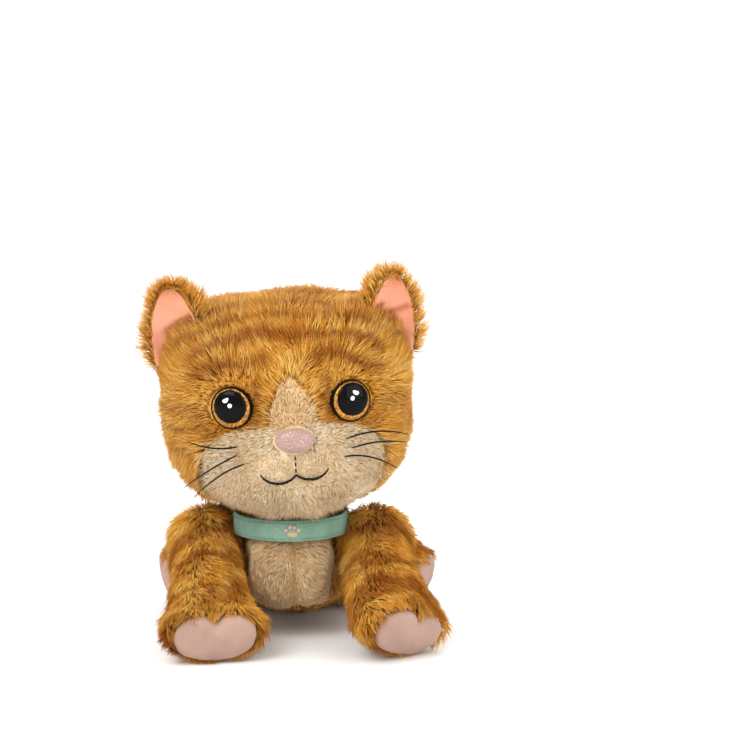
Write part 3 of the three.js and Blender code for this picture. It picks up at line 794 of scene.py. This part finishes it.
LIMBS = ("front_leg_left", "front_leg_right", "hind_leg_left", "hind_leg_right")
PAD_FRAMES = {}
LIMB_ROOTS = {}
for limb in LIMBS:
    joint = next(joint for joint in frame["joints"] if joint["child"] == limb)
    LIMB_ROOTS[limb] = joint_at(joint["name"])
    middle, normal, across = thin_frame(f"{limb}_pad", LIMB_ROOTS[limb])
    if across @ np.array([1.0, 0.0, 0.0]) < 0:
        across = -across
    axes = basis(normal, across)
    if axes[2, 1] < 0:
        axes[:, :2] *= -1
    PAD_FRAMES[limb] = (middle, axes)

PAD_HALF = (30.0, 19.0)


def pad_reach(angle):
    """The pad's outline: a wide oval with a dip at the middle of its top."""
    x, y = np.cos(angle), np.sin(angle)
    oval = (np.abs(x / PAD_HALF[0]) ** 2.3 + np.abs(y / PAD_HALF[1]) ** 2.3) ** (-1 / 2.3)
    return oval * (1 - 0.34 * np.exp(-(((angle - math.pi / 2) / 0.3) ** 2)))


def limb_groom(limb, seed):
    root = LIMB_ROOTS[limb]
    middle, axes = PAD_FRAMES[limb]
    span = middle - root
    reach = np.linalg.norm(span)
    ahead = span / reach

    def groom(p, n):
        along = (p - root) @ ahead / MM
        local = (p - middle) @ axes / MM
        angle = np.arctan2(local[:, 1], local[:, 0])
        radius = np.hypot(local[:, 0], local[:, 1])
        on_end = smooth(-9, -5, local[:, 2])
        covered = (radius < pad_reach(angle) + 0.5) & (local[:, 2] > -9)
        above = on_end * smooth(0, 8, local[:, 1])
        flow = ahead + np.array([0, 0, -0.45]) - on_end[:, None] * ahead * 0.6
        below = (on_end * (1 - above) * 0.8)[:, None] * axes[:, 1] * np.sign(local[:, 1:2])
        flow = flow + above[:, None] * (-1.3 * axes[:, 1]) + below
        length = 15.5 - 6.5 * on_end + 4 * smooth(30, 0, along) + 4 * above * bump(local[:, 0], 0, 9)
        wavy = along + 9 * ripple(p, 42 * MM, seed) + 3.5 * ripple(p, 15 * MM, seed + 3)
        bands = smooth(0.35, 0.85, 0.5 + 0.5 * np.sin(wavy * 2 * math.pi / 31 + 0.8))
        blotches = smooth(0.1, 0.8, ripple(p, 28 * MM, seed + 5))
        stripe = np.clip(0.75 * bands + 0.45 * blotches, 0, 1) * 0.9
        keep = np.where(covered, 0.0, 1.0) * np.where(p[:, 2] < 2.5 * MM, 0.3, 1.0)
        return dict(keep=keep, length=length * MM, flow=flow, lean=1.1, stripe=stripe, cream=0.0)

    return groom


TAIL_ROOT = joint_at("tail_swing")


def tail_groom(p, n):
    x, y = ((p - TAIL_ROOT) / MM)[:, :2].T
    along = np.where(x > -8, y, 42 - x)
    flow = np.where((x > -8)[:, None], np.array([-0.2, 1.0, -0.1]), np.array([-1.0, -0.15, 0.0]))
    stripe = smooth(0.4, 0.8, 0.5 + 0.5 * np.sin(along * 2 * math.pi / 20)) * 0.85
    return dict(keep=1.0, length=12 * MM, flow=flow, lean=0.9, stripe=stripe, cream=0.0)


def neck_groom(p, n):
    flow = np.stack([0 * p[:, 0], 0 * p[:, 0], np.full(len(p), -1.0)], 1)
    cream = smooth(-10 * MM, -18 * MM, p[:, 1] - NECK[1])
    return dict(keep=1.0, length=6 * MM, flow=flow, lean=0.8, stripe=0.15, cream=cream)


# Camera, light and floor.


def camera_and_light():
    scene = bpy.context.scene
    data = bpy.data.cameras.new("camera")
    data.lens, data.sensor_width = 80.6, 36
    camera = bpy.data.objects.new("camera", data)
    elevation, tilt = math.radians(10), math.radians(3.1)
    distance, side, target_z = 1.30, 0.065, 0.130
    back, up = distance * math.cos(elevation), distance * math.sin(elevation)
    camera.location = (side, NECK[1] - back, target_z + up)
    camera.rotation_euler = (math.pi / 2 - elevation + tilt, 0, 0)
    scene.collection.objects.link(camera)
    scene.camera = camera

    for name, at, size, power in (
        ("key", (-0.9, -1.3, 1.5), 1.2, 26),
        ("fill", (1.3, -1.1, 0.8), 1.4, 12),
        ("rear", (0.4, 1.2, 1.3), 1.0, 14),
    ):
        light = bpy.data.lights.new(name, "AREA")
        light.size, light.energy = size, power
        lamp = bpy.data.objects.new(name, light)
        lamp.location = at
        lamp.rotation_euler = (Vector((0, -0.06, 0.12)) - Vector(at)).to_track_quat("-Z", "Y").to_euler()
        scene.collection.objects.link(lamp)
    world = bpy.data.worlds.new("studio")
    world.use_nodes = True
    world.node_tree.nodes["Background"].inputs["Color"].default_value = (1.0, 0.99, 0.97, 1)
    world.node_tree.nodes["Background"].inputs["Strength"].default_value = 1.0
    scene.world = world
    scene.view_settings.view_transform = "Standard"

    ground = Nodes("floor", roughness=0.95, Specular_IOR_Level=0.0)
    ground.colour(ground.ramp(ground.noise(2, 2), (0.3, (0.93, 0.93, 0.93)), (0.7, (0.95, 0.95, 0.95))))
    profile = [(-6.0, 0.0), (1.6, 0.0)]
    profile += [(1.6 + 0.9 * math.sin(t), 0.9 - 0.9 * math.cos(t)) for t in np.linspace(0.1, math.pi / 2, 16)]
    profile += [(2.5, 6.0)]
    points = [(x, y, z) for y, z in profile for x in (-7, 7)]
    faces = [(2 * k, 2 * k + 1, 2 * k + 3, 2 * k + 2) for k in range(len(profile) - 1)]
    mesh_object("floor", points, faces, ground.material)


camera_and_light()


# Stuffed skins.

LONG_INSET, SHORT_INSET = 5.5 * MM, 2.8 * MM


def head_inset(p):
    x, y, z = to_head(p).T
    front = smooth(-25, -50, y)
    near_eye = smooth(34, 20, eye_distance(x, z)) * front
    short = np.maximum(np.maximum(muzzle_mask(x, y, z), blaze_mask(x, y, z)), near_eye)
    return LONG_INSET + (SHORT_INSET - LONG_INSET) * short


def torso_inset(p):
    cream = smooth(CHEST_HIGH[1] + 6 * MM, CHEST_HIGH[1] - 6 * MM, p[:, 1])
    return LONG_INSET + (4 * MM - LONG_INSET) * cream


def limb_inset(limb):
    middle, axes = PAD_FRAMES[limb]

    def inset(p):
        at_end = smooth(-16, -4, (p - middle) @ axes[:, 2] / MM)
        return LONG_INSET + (3.5 * MM - LONG_INSET) * at_end

    return inset


HEAD_NODES = [
    "head_front_panel", "head_back_panel", "blaze_panel",
    "head_stuffing", "muzzle_panel", "muzzle_stuffing",
]
TORSO_NODES = [
    "torso_left_panel", "torso_right_panel", "chest_left_panel", "chest_right_panel",
    "seat_panel", "pellet_pouch", "torso_stuffing",
]


def even(depth):
    return lambda p: np.full(len(p), depth)


head_skin = stuffed_skin("head_skin", "head", HEAD_NODES, head_inset)
torso_skin = stuffed_skin("torso_skin", "torso", TORSO_NODES, torso_inset)
neck_skin = stuffed_skin("neck_skin", "neck", ["neck_core"], even(2 * MM), voxel=4 * MM, cap=1 * MM)
TAIL_NODES = ["tail_cover", "tail_stuffing"]
tail_skin = stuffed_skin("tail_skin", "tail", TAIL_NODES, even(4.5 * MM), voxel=3 * MM, cap=1 * MM)
limb_skins = {}
for limb in LIMBS:
    nodes = [f"{limb}_cover", f"{limb}_stuffing"]
    limb_skins[limb] = stuffed_skin(f"{limb}_skin", limb, nodes, limb_inset(limb), voxel=4.5 * MM)

# Pile.
paint_skin(head_skin, head_groom, PILE)
HEAD_GINGER, HEAD_CREAM = in_zone(head_groom, "ginger"), in_zone(head_groom, "cream")
grow_pile("head_pile", head_skin, "head", "ginger_pile", PILE, 95000, HEAD_GINGER, 101)
grow_pile("face_pile", head_skin, "head", "cream_pile", SHORT_PILE, 100000, HEAD_CREAM, 104, 0.8)
paint_skin(torso_skin, torso_groom, PILE)
TORSO_GINGER, TORSO_CREAM = in_zone(torso_groom, "ginger"), in_zone(torso_groom, "cream")
grow_pile("torso_pile", torso_skin, "torso", "ginger_pile", PILE, 27000, TORSO_GINGER, 105, 1.1)
grow_pile("chest_pile", torso_skin, "torso", "cream_pile", SHORT_PILE, 52000, TORSO_CREAM, 106, 0.85)
for number, limb in enumerate(LIMBS):
    groom = limb_groom(limb, 40 + 10 * number)
    paint_skin(limb_skins[limb], groom, PILE)
    count = 25000 if limb.startswith("front") else 15000
    grow_pile(f"{limb}_pile", limb_skins[limb], limb, "ginger_pile", PILE, count, groom, 110 + number)
paint_skin(tail_skin, tail_groom, PILE)
grow_pile("tail_pile", tail_skin, "tail", "ginger_pile", PILE, 6000, tail_groom, 120)
paint_skin(neck_skin, neck_groom, PILE)
grow_pile("neck_pile", neck_skin, "neck", "ginger_pile", PILE, 6000, neck_groom, 121)


# Foot pads.


def foot_pad(limb):
    """A puffed plush cushion sewn over the end of a foot."""
    middle, axes = PAD_FRAMES[limb]
    around, rings = 72, 14
    angles = np.arange(around) * 2 * math.pi / around
    points, faces = [middle + axes[:, 2] * 5.2 * MM], []
    for ring in range(1, rings + 1):
        share = ring / rings
        reach = pad_reach(angles) * math.sin(share * math.pi / 2)
        height = 5.2 * math.cos(share * math.pi / 2) ** 0.75 - 1.5 * share**4
        local = np.stack([np.cos(angles) * reach, np.sin(angles) * reach, np.full(around, height)], 1)
        points.extend(middle + local * MM @ axes.T)
    reach = pad_reach(angles)
    back = np.stack([np.cos(angles) * reach * 0.96, np.sin(angles) * reach * 0.96, np.full(around, -6.0)], 1)
    points.extend(middle + back * MM @ axes.T)
    points.append(middle - axes[:, 2] * 6 * MM)
    for k in range(around):
        b = (k + 1) % around
        faces.append((0, 1 + k, 1 + b))
        for ring in range(rings):
            low = 1 + ring * around
            faces.append((low + k, low + around + k, low + around + b, low + b))
        faces.append((len(points) - 1, 1 + rings * around + b, 1 + rings * around + k))
    pad = mesh_object(f"{limb}_sole", points, faces, PINK)
    co = vertices(pad)
    co += normals(pad) * (0.35 * MM * ripple(co, 12 * MM, 60))[:, None]
    co[:, 2] = np.maximum(co[:, 2], 0.4 * MM)
    set_vertices(pad, co)
    place(pad, limb, "pink_plush", f"{limb}_pad")


for limb in LIMBS:
    foot_pad(limb)


# Eyes, nose, mouth and whiskers.


def eye(side):
    rim_at, normal, _ = thin_frame(f"eye_{side}_rim", HEAD_AT + HEAD_Z * 83 * MM)
    axes = basis(normal, HEAD_X)
    radius, pupil = EYE_RADIUS - 0.5, 12.2
    back = -6.0
    rim = lathe(
        f"eye_{side}_ring",
        [
            (radius - 1.4, back), (radius, back), (radius + 0.1, 0), (radius - 0.2, 1.1),
            (radius - 0.6, 1.4), (radius - 1.0, 1.3), (radius - 1.4, 0.8),
        ],
        rim_at, axes, EYE_BLACK,
    )
    gold = lathe(
        f"eye_{side}_gold",
        [
            (pupil - 2.4, back), (radius - 1.0, back), (radius - 1.0, 0.9),
            (radius - 1.7, 1.6), (pupil + 0.2, 2.9), (pupil - 2.4, 3.3),
        ],
        rim_at, axes, GOLD,
    )
    ball_at = rim_at + axes @ np.array([0, 1.3 * MM, 0])
    dome = [(pupil * math.sin(t), 2.9 + 3.4 * math.cos(t)) for t in np.linspace(0.001, math.pi / 2, 14)]
    ball = lathe(f"eye_{side}_ball", [(0.001, back), (pupil, back), *dome[::-1]], ball_at, axes, EYE_BLACK)
    glints = []
    big_x, small_x = (1.6, -1.6) if side == "left" else (-2.4, 0.9)
    for x, z, size in ((big_x, 5.6, 2.5), (small_x, 1.2, 1.7)):
        height = 2.9 + 3.4 * math.sqrt(max(0.0, 1 - (x * x + z * z) / pupil**2))
        spot = ball_at + axes @ (np.array([x, z, height]) * MM)
        lean = unit(axes @ np.array([x * 3.4 / pupil**2, z * 3.4 / pupil**2, 1 / 3.4 * 0.9]))
        edge = [(size * 0.55, 0.2), (size * 0.9, 0.1), (size, -0.1), (size * 0.9, -0.5)]
        outline = [(0.001, 0.22), *edge, (0.001, -0.5)]
        label = f"eye_{side}_glint_{len(glints)}"
        glints.append(lathe(label, outline, spot, basis(lean, HEAD_X), EYE_WHITE, 24))
    for piece, slot, nodes in (
        (rim, "eye_black", [f"eye_{side}_rim", f"eye_{side}_washer"]),
        (gold, "eye_gold", [f"eye_{side}_iris"]),
        (ball, "eye_black", [f"eye_{side}_pupil"]),
        (glints[0], "eye_black", []),
        (glints[1], "eye_black", []),
    ):
        place(piece, "head", slot, *nodes)


for side in ("left", "right"):
    eye(side)

HEAD_TREE = BVHTree.FromObject(head_skin, bpy.context.evaluated_depsgraph_get())
FRONT = -HEAD_Y


def on_face(x, z, lift):
    """The point lift millimetres in front of the head's skin at x and z in the head's frame."""
    start = HEAD_AT + HEAD_X * x * MM + HEAD_Z * z * MM + FRONT * 0.2
    hit, normal, _, _ = HEAD_TREE.ray_cast(Vector(start), Vector(-FRONT))
    return np.array(hit) + np.array(normal) * lift * MM


def nose():
    """A satin pad, rounder above than below."""
    low, high = (np.array(corner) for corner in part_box("nose_pad"))
    middle = on_face(0.7, NOSE_Z - 0.6, 2.2)
    half = np.array([(high - low)[0] / 2, 7.5 * MM, (high - low)[2] / 2 * 1.04])
    bm = bmesh.new()
    bmesh.ops.create_icosphere(bm, subdivisions=5, radius=1)
    for vert in bm.verts:
        x, y, z = vert.co
        taper = 1 - 0.12 * max(0.0, -z) ** 1.5 + 0.03 * z
        flat = math.copysign(abs(z) ** 0.92, z)
        local = np.array([x * taper * half[0], y * half[1], flat * half[2]])
        vert.co = Vector(middle + local @ HEAD_AXES)
    mesh = bpy.data.meshes.new("nose")
    bm.to_mesh(mesh)
    bm.free()
    pad = add_object("nose", mesh, SATIN)
    place(pad, "head", "nose_satin", "nose_pad")


nose()


def curve_through(points, count):
    """Points evenly along a smooth curve through a few places."""
    points = np.asarray(points, float)
    t = np.linspace(0, 1, len(points))
    order = min(3, len(points) - 1)
    fit = [np.polyfit(t, points[:, k], order) for k in range(points.shape[1])]
    return np.stack([np.polyval(f, np.linspace(0, 1, count)) for f in fit], 1)


def mouth():
    threads = []
    for start in (51.5, 47.4, 43.4):
        path = [on_face(0, z, 3.8) for z in np.linspace(start, start - 2.8, 5)]
        threads.append(tube("stitch", path, np.array([0.4, 0.55, 0.6, 0.55, 0.4]) * MM, BLACK_THREAD))
    for ends in (
        [[0, 39], [-6, 34.6], [-14, 33.2], [-20, 35.6], [-25, 40]],
        [[0, 39], [5, 36.2], [12, 35], [18, 37], [23, 41.5]],
    ):
        places = curve_through(ends, 26)
        path = [on_face(x, z, 3.6) for x, z in places]
        swell = 0.45 + 0.6 * np.sin(np.linspace(0.35, math.pi, 26)) ** 0.8
        swell = swell * (1 + 0.08 * np.sin(np.arange(26) * 2.2))
        threads.append(tube("stitch", path, swell * MM, BLACK_THREAD))
    smile = join("mouth", threads)
    place(smile, "head", "black_thread", "mouth_stitching")


mouth()


def whisker(side, row):
    """A tapered thread along its CAD whisker, from the muzzle outwards."""
    points = node_points(f"whisker_{side}_{row}")
    outward = HEAD_X if side == "left" else -HEAD_X
    t = (points - points.mean(0)) @ outward
    t = (t - t.min()) / (t.max() - t.min())
    fit = [np.polyfit(t, points[:, k], 2) for k in range(3)]
    path = np.stack([np.polyval(f, np.linspace(0, 1, 24)) for f in fit], 1) + FRONT * 3.5 * MM
    radii = np.interp(np.linspace(0, 1, 24), [0, 0.12, 0.6, 1], [0.4, 0.68, 0.62, 0.3]) * MM
    hair = tube(f"whisker_{side}_{row}_thread", path, radii, BLACK_THREAD, 8)
    place(hair, "head", "black_thread", f"whisker_{side}_{row}")


for side in ("left", "right"):
    for row in ("upper", "middle", "lower"):
        whisker(side, row)


# Ears.


def ear(side, seed):
    """A cupped ear of two cloth leaves: pile outside, creased pink plush inside, and a furred rim."""
    name = f"ear_{side}"
    body_middle = centre_of(f"{name}_back")
    at, normal, _ = thin_frame(f"{name}_lining", body_middle)
    joint = JOINTS[f"{name}_fold"]
    root = joint_at(f"{name}_fold")
    across = np.array(joint["axis"], float)
    across = unit(across - (across @ normal) * normal)
    if across[0] < 0:
        across = -across
    axes = basis(normal, across)
    if axes[2, 1] < 0:
        axes[:, :2] *= -1
    points = (node_points(f"{name}_back") - root) @ axes / MM
    width, height = 24.5, points[:, 1].max() + 0.5
    tip_x = points[points[:, 1] > height - 4][:, 0].mean()

    def surface(u, v, forward, share=1.0):
        """u across from -1 to 1, v up from 0 to 1."""
        bulge = np.where(v < 0.35, 0.93 + 0.2 * v, 1.0)
        half = width * share * bulge * (1 - np.clip(v, 0, 1) ** 2.4) ** 0.62
        x = u * half + tip_x * v**1.5
        y = -5 + v * (height + 5) * (0.5 + 0.5 * share) + (1 - share) * 4
        cup = 7.5 * (u**2 - 0.35) * (1 - 0.45 * v)
        z = cup - 2.5 + forward + 3 * np.sin(v * math.pi) * 0.4
        return np.stack([x, y, z], -1)

    def leaf(front, back, share, material, label, dent=None):
        nu, nv = 36, 40
        u, v = np.meshgrid(np.linspace(-1, 1, nu), np.linspace(0, 0.995, nv))
        sheets = [surface(u, v, depth, share) for depth in (front, back)]
        if dent is not None:
            fold = dent(u, v)
            sheets[0][..., 2] -= 2.2 * fold
        co = np.concatenate([s.reshape(-1, 3) for s in sheets])
        faces = []
        for j in range(nv - 1):
            for i in range(nu - 1):
                a = j * nu + i
                faces.append((a, a + 1, a + nu + 1, a + nu))
                a += nu * nv
                faces.append((a + nu, a + nu + 1, a + 1, a))
        right = [j * nu + nu - 1 for j in range(1, nv)]
        top = [(nv - 1) * nu + i for i in range(nu - 2, -1, -1)]
        left = [j * nu for j in range(nv - 2, 0, -1)]
        border = [*range(nu), *right, *top, *left]
        for a, b in zip(border, border[1:] + border[:1]):
            faces.append((b, a, a + nu * nv, b + nu * nv))
        piece = mesh_object(label, root + co * MM @ axes.T, faces, material)
        # Painted shade: the lining's dent depth also darkens its colour, in the folds and low in the cup.
        if dent is not None:
            values = np.concatenate([fold.ravel(), np.zeros(nu * nv)])
            set_attribute(piece.data, "crease_shade", "FLOAT", np.clip(values, 0, 1))
        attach(piece, name)
        return piece

    def creases(u, v):
        low = smooth(0.62, 0.1, v)
        folds = bump(u + 0.5 * (v - 0.5), 0.15, 0.1) * 0.9 + bump(u - 0.9 * (v - 0.45), -0.35, 0.08) * 0.7
        cross = bump(v - 0.12 * u, 0.5, 0.045) * smooth(-0.9, -0.2, u) * 0.7
        return np.clip(low * (0.35 + folds) + cross, 0, 1) * smooth(1.0, 0.8, np.abs(u))

    back = leaf(0.0, -3.5, 1.0, PILE, f"{name}_shell")
    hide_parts(f"{name}_back")
    lining = leaf(2.4, 0.3, 0.88, ROSE, f"{name}_inner", creases)
    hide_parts(f"{name}_lining")

    def groom(p, n):
        local = (p - root) @ axes / MM
        up = axes[:, 1]
        outward = unit(np.stack([local[:, 0], 0 * local[:, 0], 0 * local[:, 0]], 1)) @ axes.T
        facing = n @ axes[:, 2]
        share = np.clip(local[:, 1] / height, 0, 1)
        edge = np.abs(local[:, 0] - tip_x * share**1.5) / np.maximum(width * (1 - share**2.4) ** 0.62, 1)
        rim = np.maximum(smooth(0.84, 0.97, edge), smooth(0.9, 0.97, share))
        keep = np.where(facing > 0.45, rim, 1.0)
        flow = up + outward * (0.35 + 0.5 * rim[:, None]) - 0.2 * axes[:, 2]
        length = 12 + 3 * (facing < 0.2) + 2 * rim - 5 * smooth(0.7, 1.0, share)
        return dict(keep=keep, length=length * MM, flow=flow, lean=0.95 - 0.3 * rim, stripe=0.15, cream=0.0)

    paint_skin(back, groom, PILE)
    grow_pile(f"{name}_pile", back, name, "ginger_pile", PILE, 7000, groom, seed)


ear("left", 131)
ear("right", 132)


# Collar.


def collar():
    """A fleece band with rolled edges round the neck, its overlap behind, and an embroidered paw print."""
    low, high = (np.array(corner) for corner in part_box("collar_band"))
    points = node_points("collar_band")
    middle = (low + high) / 2
    half_x, half_y = (high - low)[:2] / 2
    front = points[points[:, 1] < low[1] + 6 * MM]
    rear = points[points[:, 1] > high[1] - 12 * MM]
    front_z = (front[:, 2].min() + front[:, 2].max()) / 2 + 2 * MM
    rear_z = rear[:, 2].max() - 8 * MM
    band = 8.2 * MM
    thick = 3.2 * MM
    around = 144
    section = [(math.cos(a), math.sin(a)) for a in np.arange(16) * 2 * math.pi / 16]
    section = [
        (np.sign(c) * abs(c) ** 0.5 * thick / 2, np.sign(s) * abs(s) ** 0.55 * band) for c, s in section
    ]

    def centre(turn):
        along = (1 + math.sin(turn)) / 2
        x = middle[0] + math.cos(turn) * (half_x - thick / 2)
        y = middle[1] + math.sin(turn) * (half_y - thick / 2)
        return np.array([x, y, front_z + (rear_z - front_z) * along])

    def outward(turn):
        return unit(np.array([math.cos(turn) * half_y, math.sin(turn) * half_x, 0]))

    co = []
    for k in range(around):
        turn = 2 * math.pi * k / around
        at = centre(turn)
        out = outward(turn)
        wave = 0.35 * MM * math.sin(7 * turn) + 0.25 * MM * math.sin(13 * turn + 1)
        for away, up in section:
            co.append(at + out * (away + wave) + np.array([0, 0, up]))
    faces = [face[::-1] for face in ring_quads(around, 16, closed=True)]
    ring = mesh_object("collar", co, faces, SAGE)
    ring.modifiers.new("fine", "SUBSURF").levels = 1
    settle_modifiers(ring)
    place(ring, "torso", "sage_fleece", "collar_band")

    stitches = []
    for row in (-1, 1):
        for k in range(0, 96):
            turn = 2 * math.pi * k / 96
            path = []
            for step in np.linspace(-0.32, 0.32, 5):
                angle = turn + step * 2 * math.pi / 96
                out = outward(angle)
                dip = 0.35 * math.cos(step / 0.32 * math.pi / 2)
                raised = thick / 2 + (0.05 + dip) * MM
                path.append(centre(angle) + out * raised + np.array([0, 0, row * 5.8 * MM]))
            radii = [0.2 * MM, 0.27 * MM, 0.28 * MM, 0.27 * MM, 0.2 * MM]
            stitches.append(tube("edge", path, radii, HOOK_TAPE, 6))
    seam = join("collar_stitching", stitches)
    place(seam, "torso", "sage_fleece")

    from_turn, to_turn, lift, steps = 1.28, 1.86, 1.9 * MM, 22
    co = []
    for k in range(steps):
        turn = from_turn + (to_turn - from_turn) * k / (steps - 1)
        at, out = centre(turn), outward(turn)
        squeeze = 1 - 0.5 * abs(2 * k / (steps - 1) - 1) ** 6
        for away, up in section:
            co.append(at + out * (away * 0.8 + lift) + np.array([0, 0, up * 0.86 * squeeze]))
    quads = [face[::-1] for face in ring_quads(steps, 16)]
    quads.append(tuple(range(16)))
    quads.append(tuple(range((steps - 1) * 16, steps * 16))[::-1])
    closure = mesh_object("collar_tab", co, quads, HOOK_TAPE)
    place(closure, "torso", "sage_fleece", "collar_closure")

    # A paw print in satin stitch: one broad pad and four toes, each a row of raised threads.
    turn = math.atan2(-1, 0.07)
    at = centre(turn)
    out = outward(turn)
    axes = basis(out, np.array([1.0, 0, 0]))
    patches = []
    for x, z, half_w, half_h, tilt in (
        (0, -1.9, 3.9, 2.7, 0.0), (-4.8, 1.1, 1.3, 1.8, 0.5), (-1.7, 3.4, 1.35, 1.9, 0.15),
        (1.7, 3.4, 1.35, 1.9, -0.15), (4.8, 1.1, 1.3, 1.8, -0.5),
    ):
        count = max(5, int(half_w * 2 / 0.55))
        for k in range(count):
            side = (2 * (k + 0.5) / count - 1) * half_w
            reach = half_h * math.sqrt(1 - (side / half_w) ** 2)
            path = []
            for t in np.linspace(-1, 1, 7):
                px, pz = side, t * reach
                cos, sin = math.cos(tilt), math.sin(tilt)
                px, pz = px * cos - pz * sin + x, px * sin + pz * cos + z
                angle = turn + px * MM / half_x
                rise = 0.25 + 0.55 * math.sqrt(max(0, 1 - t * t))
                radial = outward(angle)
                path.append(centre(angle) + radial * (thick / 2 + rise * MM) + np.array([0, 0, pz * MM]))
            radii = np.array([0.2, 0.3, 0.32, 0.33, 0.32, 0.3, 0.2]) * MM
            patches.append(tube("paw", path, radii, PAW_THREAD, 6))
    paw = join("collar_paw", patches)
    place(paw, "torso", "black_thread", "collar_emblem")


collar()
